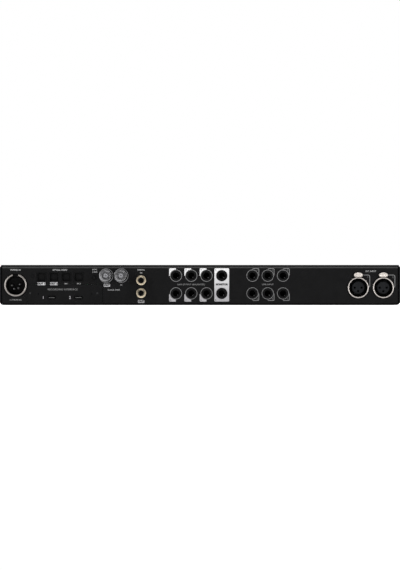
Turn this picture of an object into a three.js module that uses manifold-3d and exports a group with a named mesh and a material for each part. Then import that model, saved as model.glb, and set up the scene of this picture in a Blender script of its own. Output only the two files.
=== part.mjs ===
// A one-unit rack audio interface: a folded steel chassis behind a 19 inch front panel, with analogue,
// optical, coaxial, clock and data connectors along the back, and level controls on the front.
// Millimetres. +Z is up, the front faces -Y and the connector side faces +Y, so +X is on the left
// for someone who looks at the connectors. The origin is the middle of the underside of the chassis,
// on the surface that the unit stands on.
import * as THREE from "three";
import { mergeVertices } from "three/addons/utils/BufferGeometryUtils.js";
import Module from "manifold-3d";

const wasm = await Module();
wasm.setup();

// ---- Driving dimensions ----

const RACK_WIDTH = 482.6; // a 19 inch panel
const PANEL_HEIGHT = 43.6; // one rack unit
const PANEL_THICKNESS = 5;
const SLOT_SPACING_X = 465.1; // centres of the rack slots
const SLOT_SPACING_Z = 31.75;
const SLOT = { width: 10.3, height: 6.8 };

const CHASSIS = { width: 432, depth: 300, height: 43.4 };
const SHEET = 1.2; // steel of the tray and the cover
const REAR_SHEET = 2; // the flat rear panel, whose upper edge is rounded over
const BEND = 1.5; // outer radius of the cover's folds
const GAP = 0.3; // clearance between pieces that touch

const REAR = CHASSIS.depth / 2; // outer face of the rear panel
const WALL = -CHASSIS.depth / 2; // outer face of the tray's front wall
const FACE = WALL - GAP - PANEL_THICKNESS; // face of the front panel
const TRAY_HALF = CHASSIS.width / 2 - SHEET - GAP;
const INNER_TOP = CHASSIS.height - SHEET - GAP;

const BOARD = { bottom: 4, thickness: 1.6 };
const BOARD_TOP = BOARD.bottom + BOARD.thickness;
const UPPER_BOARD_TOP = 24.2;
const FRONT_BOARD_FACE = -143;

// ---- Rear layout ----

const JACK_PITCH = 16.55;
const JACK_ROWS = { lower: 12.6, upper: 31.85 };
const FIRST_OUTPUT_X = 26.05; // three pairs of outputs, then the monitor pair
const FIRST_LINE_X = -56.9; // three pairs of line inputs
const POWER_INLET = { x: 200, z: 21.5 };
const MIC_INPUTS = { x: [-171.6, -198.8], z: 18.8 };
const OPTICAL = { x: 171.9, pitch: 13.5, z: 30.3, count: 4 };
const CARD = { x0: 105.8, x1: 187.2, z0: 1.6, z1: 22.4 };
const DATA_PORTS = { x: [160.7, 131.8], z: 8 };
const TERMINATION = { x: 114.5, z: 29.8 };
const CLOCK_JACKS = { x: [101.8, 85.4], z: 31.9 };
const COAX_JACKS = { x: 63.8, z: [26.8, 13] };

// ---- Front layout ----

const MID_Z = PANEL_HEIGHT / 2;
const KNOBS_X = { input: -134, monitor: 92 };
const BUTTON_ROWS = [30.3, 13.3];
const BUTTONS_X = [-102, -84, 119];
const METER = { x: -2, width: 122, height: 25.6 };
const PHONES = { x: [147, 171], knobZ: 31.2, jackZ: 12 };
const INSTRUMENTS_X = [-196, -172];
const ROCKER_X = 199;
const ROCKER_TILT = THREE.MathUtils.degToRad(9);

// ---- Controls and their sockets ----

const BUTTON = { width: 11, height: 7 };
const ROCKER = { width: 12.4, height: 19.2, pivot: 2.5 };
const JACK_NOSE = 5.6;
const JACK_BORE = 3.3;
const MIC_RING = { outer: 11.3, inner: 10.1 };
const INLET_RING = { outer: 12.15, inner: 10.5, keyway: 3.1 };
const PIN_ANGLES = [-2, 168, -65, -129]; // of the inlet's four pins, in degrees
const TAB = { z: 13.7, halfWidth: 5, halfHeight: 2.9, neck: 2.9 };

// ---- Materials ----

const finish = (color, roughness, metalness) =>
  new THREE.MeshStandardMaterial({ color, roughness, metalness });
const blackPaint = finish(0x1b1b1c, 0.55, 0.2);
const blackPlastic = finish(0x0c0c0d, 0.4, 0);
const nickel = finish(0xc9c4be, 0.3, 1);
const gold = finish(0xd8c49a, 0.28, 1);
const greenBoard = finish(0x0f3d22, 0.6, 0);
const darkAnodised = finish(0x2a2b2e, 0.45, 0.7);
const greyAluminium = finish(0x8d8f93, 0.4, 0.8);
const smokedAcrylic = finish(0x050506, 0.08, 0);
const litPlastic = finish(0xd9d9d4, 0.5, 0);
const greyCable = finish(0x8b8c8e, 0.7, 0);

// ---- Shapes ----

// A closed geometry as a solid that can be cut and joined, with its faces pointing out.
function solid(geometry) {
  const bare = geometry.index ? geometry.toNonIndexed() : geometry.clone();
  bare.deleteAttribute("normal");
  bare.deleteAttribute("uv");
  const merged = mergeVertices(bare, 1e-4);
  const points = merged.attributes.position;
  const corner = (i) => new THREE.Vector3().fromBufferAttribute(points, i);
  const faces = [];
  let volume = 0;
  for (let i = 0; i < merged.index.count; i += 3) {
    const [a, b, c] = merged.index.array.slice(i, i + 3);
    if (a === b || b === c || c === a) continue;
    faces.push([a, b, c]);
    volume += corner(a).dot(corner(b).cross(corner(c)));
  }
  if (volume < 0) faces.forEach((face) => face.reverse());
  const mesh = new wasm.Mesh({
    numProp: 3,
    vertProperties: points.array,
    triVerts: new Uint32Array(faces.flat()),
  });
  return new wasm.Manifold(mesh);
}

function geometryOf(shape) {
  const made = shape.getMesh();
  const geometry = new THREE.BufferGeometry();
  geometry.setAttribute("position", new THREE.BufferAttribute(made.vertProperties, 3));
  geometry.setIndex(new THREE.BufferAttribute(made.triVerts, 1));
  geometry.computeVertexNormals();
  return geometry;
}

function box([x0, x1], [y0, y1], [z0, z1]) {
  const geometry = new THREE.BoxGeometry(x1 - x0, y1 - y0, z1 - z0);
  return solid(geometry.translate((x0 + x1) / 2, (y0 + y1) / 2, (z0 + z1) / 2));
}

// A round bar along Y.
function rod(radius, [y0, y1], { x = 0, z = 0, sides = 24 } = {}) {
  const geometry = new THREE.CylinderGeometry(radius, radius, y1 - y0, sides);
  return solid(geometry.translate(x, (y0 + y1) / 2, z));
}

// An upright round post.
function post(radius, x, y, [z0, z1], sides = 8) {
  const geometry = new THREE.CylinderGeometry(radius, radius, z1 - z0, sides).rotateX(Math.PI / 2);
  return solid(geometry.translate(x, y, (z0 + z1) / 2));
}

// A profile of [radius, y] points turned about the Y axis.
function turned(profile, sides = 24) {
  return solid(new THREE.LatheGeometry(profile.map(([r, y]) => new THREE.Vector2(r, y)), sides));
}

function extruded(outline, depth, curveSegments) {
  return new THREE.ExtrudeGeometry(outline, { depth, bevelEnabled: false, curveSegments });
}

// An outline in X and Z, given thickness along Y.
function slab(outline, [y0, y1], curveSegments = 4) {
  const geometry = extruded(outline, y1 - y0, curveSegments);
  return solid(geometry.rotateX(Math.PI / 2).translate(0, y1, 0));
}

// An outline in Y and Z, drawn out along X.
function channel(outline, [x0, x1], curveSegments = 4) {
  const geometry = extruded(outline, x1 - x0, curveSegments);
  const toYZ = new THREE.Matrix4().set(0, 0, 1, x0, 1, 0, 0, 0, 0, 1, 0, 0, 0, 0, 0, 1);
  return solid(geometry.applyMatrix4(toYZ));
}

const join = (first, ...rest) => rest.reduce((whole, piece) => whole.add(piece), first);
const cut = (first, ...rest) => rest.reduce((whole, piece) => whole.subtract(piece), first);

// A rectangle with rounded corners; a radius of half its height makes a slot with round ends.
function roundedRectangle(width, height, radius, x = 0, z = 0) {
  const [a, b] = [width / 2 - radius, height / 2 - radius];
  const outline = new THREE.Shape();
  outline.absarc(x + a, z + b, radius, 0, Math.PI / 2);
  outline.absarc(x - a, z + b, radius, Math.PI / 2, Math.PI);
  outline.absarc(x - a, z - b, radius, Math.PI, 1.5 * Math.PI);
  outline.absarc(x + a, z - b, radius, 1.5 * Math.PI, 2 * Math.PI);
  return outline;
}

function polygon(points) {
  return new THREE.Shape(points.map(([u, v]) => new THREE.Vector2(u, v)));
}

function piece(name, shape, material, [x, y, z] = [0, 0, 0]) {
  const mesh = new THREE.Mesh(geometryOf(shape), material);
  mesh.name = name;
  mesh.position.set(x, y, z);
  return mesh;
}

const both = [-1, 1];
const series = (count, make) => Array.from({ length: count }, (_, i) => make(i));

// ---- Casing ----

function trayShape() {
  const outer = CHASSIS.depth / 2;
  const flangeEnd = REAR - REAR_SHEET - GAP;
  const bottom = box([-TRAY_HALF, TRAY_HALF], [-outer, outer], [0, SHEET]);
  const flanges = both.map((side) => {
    const span = [side * TRAY_HALF, side * (TRAY_HALF - SHEET)].sort((a, b) => a - b);
    return box(span, [WALL + SHEET, flangeEnd], [SHEET / 2, 14]);
  });
  // The card plate's screws go into these two upright tabs.
  const tabs = [[CARD.x0 + 2.5, CARD.x0 + 9.5], [CARD.x1 - 7, CARD.x1 - 0.5]].map((span) =>
    box(span, [REAR - REAR_SHEET - 1.5, REAR - REAR_SHEET - GAP], [SHEET / 2, 17]),
  );
  const standoffTop = BOARD.bottom - GAP;
  const standoffs = [
    [-205, 16], [-205, 110], [-90, 16], [-90, 110], [28, 16], [28, 110],
    [50, -112], [172, -112], [50, 80], [172, 80], [199, -12], [199, 108],
  ].map(([x, y]) => post(2.6, x, y, [SHEET / 2, standoffTop]));
  const wall = box([-TRAY_HALF, TRAY_HALF], [WALL, WALL + SHEET], [SHEET / 2, INNER_TOP]);
  // Openings behind the instrument jacks, input controls, meters, monitor controls, phones and switch.
  const windows = [
    [-204.5, -163.5, 12, 32], [-150, -72, 6, 38], [METER.x - 64, METER.x + 64, 6, 38],
    [80, 131, 6, 38], [138.5, 180, 4, 40], [190, 208.5, 9, 35],
  ].map(([x0, x1, z0, z1]) => box([x0, x1], [WALL - 1, WALL + SHEET + 1], [z0, z1]));
  return join(bottom, ...flanges, ...tabs, ...standoffs, cut(wall, ...windows));
}

function coverShape() {
  const half = CHASSIS.width / 2;
  const top = CHASSIS.height;
  const foot = 0.6;
  const inner = half - SHEET;
  const innerBend = BEND - SHEET;
  const outline = new THREE.Shape();
  outline.moveTo(-half, foot);
  outline.absarc(-half + BEND, top - BEND, BEND, Math.PI, Math.PI / 2, true);
  outline.absarc(half - BEND, top - BEND, BEND, Math.PI / 2, 0, true);
  outline.lineTo(half, foot);
  outline.lineTo(inner, foot);
  outline.absarc(inner - innerBend, top - SHEET - innerBend, innerBend, 0, Math.PI / 2);
  outline.absarc(-inner + innerBend, top - SHEET - innerBend, innerBend, Math.PI / 2, Math.PI);
  outline.lineTo(-inner, foot);
  const shell = slab(outline, [WALL, REAR], 2);
  const slotPitch = 9;
  const sideVents = both.flatMap((side) =>
    series(9, (i) => {
      const y = -60 + i * slotPitch;
      const span = side > 0 ? [half - 2 * SHEET, half + 1] : [-half - 1, -half + 2 * SHEET];
      return box(span, [y - 1.6, y + 1.6], [15.5, 34]);
    }),
  );
  const topVents = [-122, 117].flatMap((x) =>
    series(9, (i) => {
      const middle = x + (i - 4) * slotPitch;
      return box([middle - 1.6, middle + 1.6], [-50, -10], [top - 2 * SHEET, top + 1]);
    }),
  );
  return cut(shell, ...sideVents, ...topVents);
}

function rearPanelShape() {
  const [bottom, top] = [SHEET + GAP, INNER_TOP];
  const back = REAR - REAR_SHEET;
  const [upperRound, lowerRound] = [1.9, 0.9];
  const outline = new THREE.Shape();
  outline.moveTo(back, top);
  outline.absarc(REAR - upperRound, top - upperRound, upperRound, Math.PI / 2, 0, true);
  outline.absarc(REAR - lowerRound, bottom + lowerRound, lowerRound, 0, -Math.PI / 2, true);
  outline.lineTo(back, bottom);
  const sheet = channel(outline, [-TRAY_HALF, TRAY_HALF], 3);
  const through = [back - 1, REAR + 1];
  const jackHoles = jackColumns().flatMap(({ x }) =>
    Object.values(JACK_ROWS).map((z) => rod(JACK_NOSE + GAP, through, { x, z, sides: 14 })),
  );
  const micHoles = MIC_INPUTS.x.flatMap((x) => [
    rod(MIC_RING.outer + GAP, through, { x, z: MIC_INPUTS.z, sides: 24 }),
    tabShape(0.4, through).translate([x, 0, MIC_INPUTS.z]),
  ]);
  const inletHole = rod(INLET_RING.outer + GAP, through, { ...POWER_INLET, sides: 24 });
  const opticalHoles = series(OPTICAL.count, (i) => {
    const x = OPTICAL.x - i * OPTICAL.pitch;
    return box([x - 5.4, x + 5.4], through, [OPTICAL.z - 5.4, OPTICAL.z + 5.4]);
  });
  const clockHoles = CLOCK_JACKS.x.map((x) => rod(5.3, through, { x, z: CLOCK_JACKS.z, sides: 16 }));
  const coaxHoles = COAX_JACKS.z.map((z) => rod(4.5, through, { x: COAX_JACKS.x, z, sides: 16 }));
  const buttonHole = rod(2.2, through, { ...TERMINATION, sides: 8 });
  const cardNotch = box([CARD.x0 - GAP, CARD.x1 + GAP], through, [0, CARD.z1 + GAP]);
  const socketHoles = [...jackHoles, ...micHoles, inletHole, ...opticalHoles, ...clockHoles, ...coaxHoles];
  return cut(sheet, ...socketHoles, buttonHole, cardNotch);
}

function cardPlateShape() {
  const plate = box([CARD.x0, CARD.x1], [REAR - REAR_SHEET + 0.1, REAR], [CARD.z0, CARD.z1]);
  const openings = DATA_PORTS.x.map((x) =>
    slab(roundedRectangle(9.7, 4.1, 1.8, x, DATA_PORTS.z), [REAR - 3, REAR + 1], 2),
  );
  return cut(plate, ...openings);
}

function frontPanelShape() {
  const through = [FACE - 1, FACE + PANEL_THICKNESS + 1];
  const outline = roundedRectangle(RACK_WIDTH, PANEL_HEIGHT, 1.2, 0, MID_Z);
  const panel = slab(outline, [FACE, FACE + PANEL_THICKNESS], 2);
  const rackSlots = both.flatMap((side) =>
    both.map((level) => {
      const [x, z] = [(side * SLOT_SPACING_X) / 2, MID_Z + (level * SLOT_SPACING_Z) / 2];
      return slab(roundedRectangle(SLOT.width, SLOT.height, SLOT.height / 2 - 0.01, x, z), through, 2);
    }),
  );
  const jackHoles = frontJacks().map(({ x, z }) => rod(JACK_NOSE + GAP, through, { x, z, sides: 14 }));
  const knobHoles = Object.values(KNOBS_X).map((x) => rod(3.7, through, { x, z: MID_Z, sides: 12 }));
  const phonesHoles = PHONES.x.map((x) => rod(3.2, through, { x, z: PHONES.knobZ, sides: 10 }));
  const buttonHoles = buttonPlaces().map(({ x, z }) =>
    slab(roundedRectangle(BUTTON.width + 0.6, BUTTON.height + 0.6, 1, x, z), through, 1),
  );
  const meterHole = slab(roundedRectangle(METER.width, METER.height, 1.5, METER.x, MID_Z), through, 1);
  const rockerHole = box([ROCKER_X - 6.6, ROCKER_X + 6.6], through, [MID_Z - 10.8, MID_Z + 10.8]);
  return cut(
    panel, ...rackSlots, ...jackHoles, ...knobHoles, ...phonesHoles, ...buttonHoles, meterHole, rockerHole,
  );
}

function makeCasing() {
  const group = new THREE.Group();
  group.add(
    piece("chassis_tray", trayShape(), blackPaint),
    piece("top_cover", coverShape(), blackPaint),
    piece("rear_panel", rearPanelShape(), blackPaint),
    piece("io_card_plate", cardPlateShape(), blackPaint),
    piece("front_panel", frontPanelShape(), darkAnodised),
  );
  return group;
}

// ---- Boards and what is soldered to them ----

const onBoard = (x, y, [w, d, h], bottom = BOARD_TOP) =>
  box([x - w / 2, x + w / 2], [y - d / 2, y + d / 2], [bottom - 0.2, bottom + h]);

function analogBoardShape() {
  const board = box([-211, 36], [8, REAR - REAR_SHEET - 0.6], [BOARD.bottom, BOARD_TOP]);
  const relays = series(7, (i) => onBoard(-192 + i * 34, 96, [10, 20, 10]));
  const preamps = series(2, (i) => onBoard(-186 + i * 30, 60, [22, 26, 8]));
  const capacitors = series(6, (i) => post(4, -110 + i * 22, 62, [BOARD_TOP - 0.2, BOARD_TOP + 12]));
  const converters = series(3, (i) => onBoard(-90 + i * 45, 30, [12, 12, 1.6]));
  return join(board, ...relays, ...preamps, ...capacitors, ...converters);
}

function digitalBoardShape() {
  const main = box([42, 180], [-120, 88], [BOARD.bottom, BOARD_TOP]);
  const tongue = box([42, 98], [87, REAR - REAR_SHEET - 0.6], [BOARD.bottom, BOARD_TOP]);
  const processors = [-44, -12].flatMap((y) => series(3, (i) => onBoard(96 + i * 22, y, [15, 15, 2.4])));
  const ribbonSocket = onBoard(75, -113, [34, 7, 2.6]);
  const clockChip = onBoard(60, 60, [14, 14, 2]);
  return join(main, tongue, ...processors, ribbonSocket, clockChip);
}

function connectorBoardShape() {
  const bottom = UPPER_BOARD_TOP - BOARD.thickness;
  const board = box([78, 184], [118, REAR - REAR_SHEET - 0.6], [bottom, UPPER_BOARD_TOP]);
  const legs = [103, 181].map((x) => box([x - 2, x + 2], [120, 124], [SHEET + GAP, bottom + 0.2]));
  const { x, z } = TERMINATION;
  const switchBody = box([x - 4, x + 4], [130, REAR - 9.5], [UPPER_BOARD_TOP - 0.2, z + 4]);
  return join(board, ...legs, switchBody);
}

function ioCardShape() {
  const board = box([117.5, 178.5], [98, REAR - REAR_SHEET - 0.6], [BOARD.bottom, BOARD_TOP]);
  const controller = onBoard(147, 116, [18, 18, 2]);
  const ports = DATA_PORTS.x.map((x) => {
    const outline = (width, height, radius) => roundedRectangle(width, height, radius, x, DATA_PORTS.z);
    const shell = slab(outline(9, 3.4, 1.5), [REAR - 8.5, REAR + GAP], 1);
    const hollow = slab(outline(8.3, 2.5, 1.2), [REAR - 7, REAR + 1], 1);
    const tongue = slab(roundedRectangle(6.6, 0.7, 0.1, x, DATA_PORTS.z), [REAR - 7.5, REAR - 0.8], 1);
    const foot = box([x - 3, x + 3], [REAR - 8.5, REAR - 3], [BOARD_TOP - 0.2, DATA_PORTS.z - 1.5]);
    return join(cut(shell, hollow), tongue, foot);
  });
  return join(board, controller, ...ports);
}

function powerBoardShape() {
  const board = box([184.5, 212.5], [-20, 118], [BOARD.bottom, BOARD_TOP]);
  const chokes = [12, 40].map((y) => onBoard(199, y, [20, 20, 16]));
  const reservoirs = [66, 80].map((y) => post(5.5, 192, y, [BOARD_TOP - 0.2, BOARD_TOP + 25], 12));
  const regulator = onBoard(206, 73, [4, 24, 18]);
  return join(board, ...chokes, ...reservoirs, regulator);
}

function frontBoardShape() {
  const thickness = [FRONT_BOARD_FACE, FRONT_BOARD_FACE + BOARD.thickness];
  const board = cut(
    box([-150, 208.5], thickness, [3, 39.5]),
    box([138, 180.5], [FRONT_BOARD_FACE - 1, FRONT_BOARD_FACE + 3], [0, 20.5]),
  );
  const before = (x, z, [w, h], front) =>
    box([x - w / 2, x + w / 2], [front, FRONT_BOARD_FACE + 0.2], [z - h / 2, z + h / 2]);
  const encoders = Object.values(KNOBS_X).map((x) => before(x, MID_Z, [13, 13], FACE + 8.9));
  const pots = PHONES.x.map((x) => before(x, PHONES.knobZ, [12, 12], FACE + 7.4));
  const switches = buttonPlaces().map(({ x, z }) => before(x, z, [6, 6], FACE + 9.5));
  const meters = before(METER.x, MID_Z, [114, 22], FACE + 3);
  const rockerSwitch = before(ROCKER_X, MID_Z, [13, 20], FACE + 7.8);
  return join(board, ...encoders, ...pots, ...switches, meters, rockerSwitch);
}

function heatsinkShape() {
  const [finPitch, finWidth, fins] = [7.5, 2, 9];
  const width = (fins - 1) * finPitch + finWidth;
  const [base, root, tip] = [BOARD_TOP + 2.7, BOARD_TOP + 5.5, 34];
  const points = series(fins, (i) => {
    const left = -width / 2 + i * finPitch;
    return [[left, root], [left, tip], [left + finWidth, tip], [left + finWidth, root]];
  }).flat();
  const comb = slab(polygon([[-width / 2, base], ...points, [width / 2, base]].reverse()), [-56, 0]);
  return comb.translate([118, 0, 0]);
}

// A flat cable from the front board, bent down and back to its socket on the digital board.
function ribbonShape() {
  const [thickness, bend] = [1, 3];
  const [start, end] = [FRONT_BOARD_FACE + BOARD.thickness + GAP, -111];
  const [high, low] = [20, BOARD_TOP + 2.6 + GAP];
  const dropX = -133;
  const outline = new THREE.Shape();
  outline.moveTo(start, high);
  outline.absarc(dropX - bend, high - bend, bend, Math.PI / 2, 0, true);
  outline.absarc(dropX + bend, low + bend + thickness, bend, Math.PI, 1.5 * Math.PI);
  outline.lineTo(end, low + thickness);
  outline.lineTo(end, low);
  outline.absarc(dropX + bend, low + bend + thickness, bend + thickness, 1.5 * Math.PI, Math.PI, true);
  outline.absarc(dropX - bend, high - bend, bend - thickness, 0, Math.PI / 2);
  outline.lineTo(start, high - thickness);
  return channel(outline, [60, 90], 2);
}

function makeBoards() {
  const group = new THREE.Group();
  group.add(
    piece("analog_board", analogBoardShape(), greenBoard),
    piece("digital_board", digitalBoardShape(), greenBoard),
    piece("connector_board", connectorBoardShape(), greenBoard),
    piece("io_card", ioCardShape(), greenBoard),
    piece("power_board", powerBoardShape(), greenBoard),
    piece("front_board", frontBoardShape(), greenBoard),
    piece("dsp_heatsink", heatsinkShape(), greyAluminium),
    piece("ribbon_cable", ribbonShape(), greyCable),
  );
  return group;
}

// ---- Rear connectors, each made about its own axis with y = 0 on the panel's outer face ----

function jackColumns() {
  const outputs = series(3, (i) => ({ name: `output_jacks_${i + 1}`, x: FIRST_OUTPUT_X - i * JACK_PITCH }));
  const monitor = { name: "monitor_jacks", x: FIRST_OUTPUT_X - 3 * JACK_PITCH };
  const lines = series(3, (i) => ({ name: `line_input_jacks_${i + 1}`, x: FIRST_LINE_X - i * JACK_PITCH }));
  return [...outputs, monitor, ...lines];
}

// The blind hole that a quarter inch plug goes into, with a flared mouth. It opens towards +Y.
function plugBore(mouth, depth) {
  const [bottom, flare] = [mouth - depth, 4.5];
  const profile = [
    [0, bottom], [JACK_BORE, bottom], [JACK_BORE, mouth - 1.2],
    [flare, mouth], [flare, mouth + 1], [0, mouth + 1],
  ];
  return turned(profile, 10);
}

// Two jacks, one above the other, in one moulding.
function jackPairShape() {
  const drop = JACK_ROWS.upper - JACK_ROWS.lower;
  const mouth = 0.9;
  const moulding = box([-7.9, 7.9], [-30, -REAR_SHEET - GAP], [-7, drop + 7.2]);
  const noses = [0, drop].map((z) => rod(JACK_NOSE, [-3, mouth], { z, sides: 14 }));
  const bores = [0, drop].map((z) => plugBore(mouth, 27).translate([0, 0, z]));
  return cut(join(moulding, ...noses), ...bores);
}

function micShellShape() {
  const { outer, inner } = MIC_RING;
  return turned([[inner, -9], [outer, -9], [outer, 1.4], [outer - 0.5, 2], [inner, 2], [inner, -9]]);
}

// The black insert of a microphone socket: a cup for the plug's shell around a core with three holes.
function micBodyShape() {
  const [front, pinCircle] = [-REAR_SHEET - GAP, 3.75];
  const block = box([-12.9, 12.9], [-28, front], [-12.3, 13]);
  const seat = rod(MIC_RING.outer + GAP, [-9.3, 0]);
  const cup = rod(MIC_RING.inner - GAP, [-20, 0]);
  const latchWindow = box([-6.5, 6.5], [-5, 0], [10.6, 14]);
  const core = rod(6.7, [-22, -0.5], { sides: 16 });
  const holes = [[pinCircle, 0], [-pinCircle, 0], [0, -pinCircle]].map(([x, z]) =>
    rod(1.25, [-13, 0], { x, z, sides: 6 }),
  );
  return cut(join(cut(block, seat, cup, latchWindow), core), ...holes);
}

// The oval release tab with its neck, grown by a margin where it is a hole.
function tabShape(margin, [y0, y1]) {
  const oval = new THREE.Shape();
  oval.absellipse(0, TAB.z, TAB.halfWidth + margin, TAB.halfHeight + margin, 0, 2 * Math.PI);
  const neckHalf = TAB.neck + margin;
  const neck = box([-neckHalf, neckHalf], [y0, y1], [9, TAB.z]);
  return join(slab(oval, [y0, y1], 8), neck);
}

function micLatchShape() {
  const tab = cut(tabShape(0, [-1.2, 3.2]), rod(MIC_RING.outer + GAP, [-3, 5]));
  const stem = box([-2.8, 2.8], [-16, -1], [13.4, 15.8]);
  return join(tab, stem);
}

function inletShellShape() {
  const { outer, inner, keyway: half } = INLET_RING;
  const lip = [[outer, 1.6], [outer - 0.5, 2.2], [inner, 2.2]];
  const ring = turned([[inner, -9], [outer, -9], ...lip, [inner, -9]]);
  const keyway = box([-half, half], [-10, 3], [8, 13]);
  return cut(ring, keyway);
}

function inletBodyShape() {
  const block = box([-12.7, 12.7], [-26, -REAR_SHEET - GAP], [-14.8, 14.8]);
  const seat = rod(INLET_RING.outer + GAP, [-9.3, 0]);
  const cup = rod(INLET_RING.inner - GAP, [-18, 0]);
  return cut(block, seat, cup);
}

// Four pins on a round carrier at the bottom of the inlet.
function inletPinsShape() {
  const carrier = rod(9, [-17.6, -16.2], { sides: 16 });
  const pins = PIN_ANGLES.map((degrees) => {
    const angle = THREE.MathUtils.degToRad(degrees);
    return rod(1.1, [-17, -2.6], { x: 4.4 * Math.cos(angle), z: 4.4 * Math.sin(angle), sides: 8 });
  });
  return join(carrier, ...pins);
}

function opticalPortShape() {
  const body = box([-5.9, 5.9], [-15.5, -REAR_SHEET - GAP], [-5.9, 6.1]);
  const nose = box([-5.1, 5.1], [-3, 0.3], [-5.1, 5.1]);
  const cavity = box([-4.4, 4.4], [-13.5, 1], [-4.2, 4.2]);
  return cut(join(body, nose), cavity);
}

const shutterShape = () => box([-4.1, 4.1], [-3.8, -3], [-3.9, 3.9]);

function clockJackShape() {
  const body = box([-6.3, 6.3], [-13, -REAR_SHEET - GAP], [-7.2, 6.5]);
  const neck = rod(5, [-3, 1], { sides: 16 });
  const flange = rod(7.8, [0.2, 2.4], { sides: 20 });
  const barrel = rod(4.85, [0, 13], { sides: 16 });
  const hollow = rod(4.1, [4, 14], { sides: 16 });
  const contact = rod(2.3, [3, 11.5], { sides: 10 });
  const lugs = box([-5.6, 5.6], [9.6, 11.4], [-0.9, 0.9]);
  const socket = rod(0.7, [5, 14], { sides: 6 });
  return cut(join(cut(join(body, neck, flange, barrel, lugs), hollow), contact), socket);
}

function coaxJackShape() {
  const body = box([-5.8, 5.8], [-13, -REAR_SHEET - GAP], [-6, 6]);
  const flange = rod(5.4, [0.2, 1.9], { sides: 16 });
  const barrel = rod(4.15, [-3, 9.5], { sides: 16 });
  const mouth = rod(2.7, [1, 10], { sides: 12 });
  return cut(join(body, flange, barrel), mouth);
}

const terminationShape = () => rod(1.8, [-8, 0.5], { sides: 8 });

function makeRearConnectors() {
  const group = new THREE.Group();
  group.position.y = REAR;
  const mics = MIC_INPUTS.x.flatMap((x, i) => [
    piece(`mic_input_shell_${i + 1}`, micShellShape(), nickel, [x, 0, MIC_INPUTS.z]),
    piece(`mic_input_body_${i + 1}`, micBodyShape(), blackPlastic, [x, 0, MIC_INPUTS.z]),
    piece(`mic_latch_${i + 1}`, micLatchShape(), nickel, [x, 0, MIC_INPUTS.z]),
  ]);
  const optical = series(OPTICAL.count, (i) => {
    const place = [OPTICAL.x - i * OPTICAL.pitch, 0, OPTICAL.z];
    return [
      piece(`optical_port_${i + 1}`, opticalPortShape(), blackPlastic, place),
      piece(`optical_shutter_${i + 1}`, shutterShape(), blackPlastic, place),
    ];
  }).flat();
  const inletPlace = [POWER_INLET.x, 0, POWER_INLET.z];
  group.add(
    ...jackColumns().map(({ name, x }) => {
      return piece(name, jackPairShape(), blackPlastic, [x, 0, JACK_ROWS.lower]);
    }),
    ...mics,
    ...optical,
    piece("power_inlet_shell", inletShellShape(), nickel, inletPlace),
    piece("power_inlet_body", inletBodyShape(), blackPlastic, inletPlace),
    piece("power_inlet_pins", inletPinsShape(), nickel, inletPlace),
    ...CLOCK_JACKS.x.map((x, i) =>
      piece(["clock_output_jack", "clock_input_jack"][i], clockJackShape(), nickel, [x, 0, CLOCK_JACKS.z]),
    ),
    ...COAX_JACKS.z.map((z, i) =>
      piece(["coax_input_jack", "coax_output_jack"][i], coaxJackShape(), gold, [COAX_JACKS.x, 0, z]),
    ),
    piece("termination_button", terminationShape(), blackPlastic, [TERMINATION.x, 0, TERMINATION.z]),
  );
  return group;
}

// ---- Front controls, each made about its own axis with y = 0 on the panel's face ----

function buttonPlaces() {
  return BUTTONS_X.flatMap((x) => BUTTON_ROWS.map((z) => ({ x, z })));
}

function frontJacks() {
  const instruments = INSTRUMENTS_X.map((x, i) => ({ name: `instrument_jack_${i + 1}`, x, z: MID_Z }));
  const phones = PHONES.x.map((x, i) => ({ name: `phones_jack_${i + 1}`, x, z: PHONES.jackZ }));
  return [...instruments, ...phones];
}

function frontJackShape() {
  const moulding = box([-7.5, 7.5], [PANEL_THICKNESS + 0.4, 32], [-7.5, 7.5]);
  const nose = rod(JACK_NOSE, [-1.4, PANEL_THICKNESS + 1], { sides: 14 });
  const bore = plugBore(1.4, 27).rotate([180, 0, 0]);
  return cut(join(moulding, nose), bore);
}

// A knob with its spindle, which reaches through the panel, and a pointer groove at the top of its face.
function knobShape(radius, height, spindle, sides) {
  const standOff = -1.3;
  const edge = 1.2;
  const outline = turned([
    [0, PANEL_THICKNESS + 2], [spindle, PANEL_THICKNESS + 2], [spindle, standOff], [radius, standOff],
    [radius, edge - height], [radius - edge, -height], [0, -height],
  ], sides);
  const pointer = box([-0.6, 0.6], [-height - 1, 0.8 - height], [radius * 0.4, radius * 0.86]);
  return cut(outline, pointer);
}

// The plunger of the switch inside an encoder, which the spindle pushes.
const plungerShape = () => rod(2.6, [PANEL_THICKNESS + 2.3, PANEL_THICKNESS + 3.3], { sides: 8 });

function buttonShape() {
  const halves = [BUTTON.width / 2, BUTTON.height / 2];
  const capOutline = roundedRectangle(BUTTON.width, BUTTON.height, 0.8);
  const cap = slab(capOutline, [-1.6, PANEL_THICKNESS + 0.6], 1);
  const flange = box([-halves[0] - 1, halves[0] + 1], [5.4, 6.4], [-halves[1] - 1, halves[1] + 1]);
  const stem = box([-2, 2], [6.2, 8.4], [-2, 2]);
  return join(cap, flange, stem);
}

// A rocker with a shallow V across its face, made about its pivot.
function rockerShape() {
  const end = ROCKER.height / 2;
  const face = [[-5.1, end], [-3.3, 0], [-5.1, -end]];
  const back = [[0, -end], [3.5, -4], [4, 0], [3.5, 4], [0, end]];
  return channel(polygon([...face, ...back]), [-ROCKER.width / 2, ROCKER.width / 2]);
}

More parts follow.
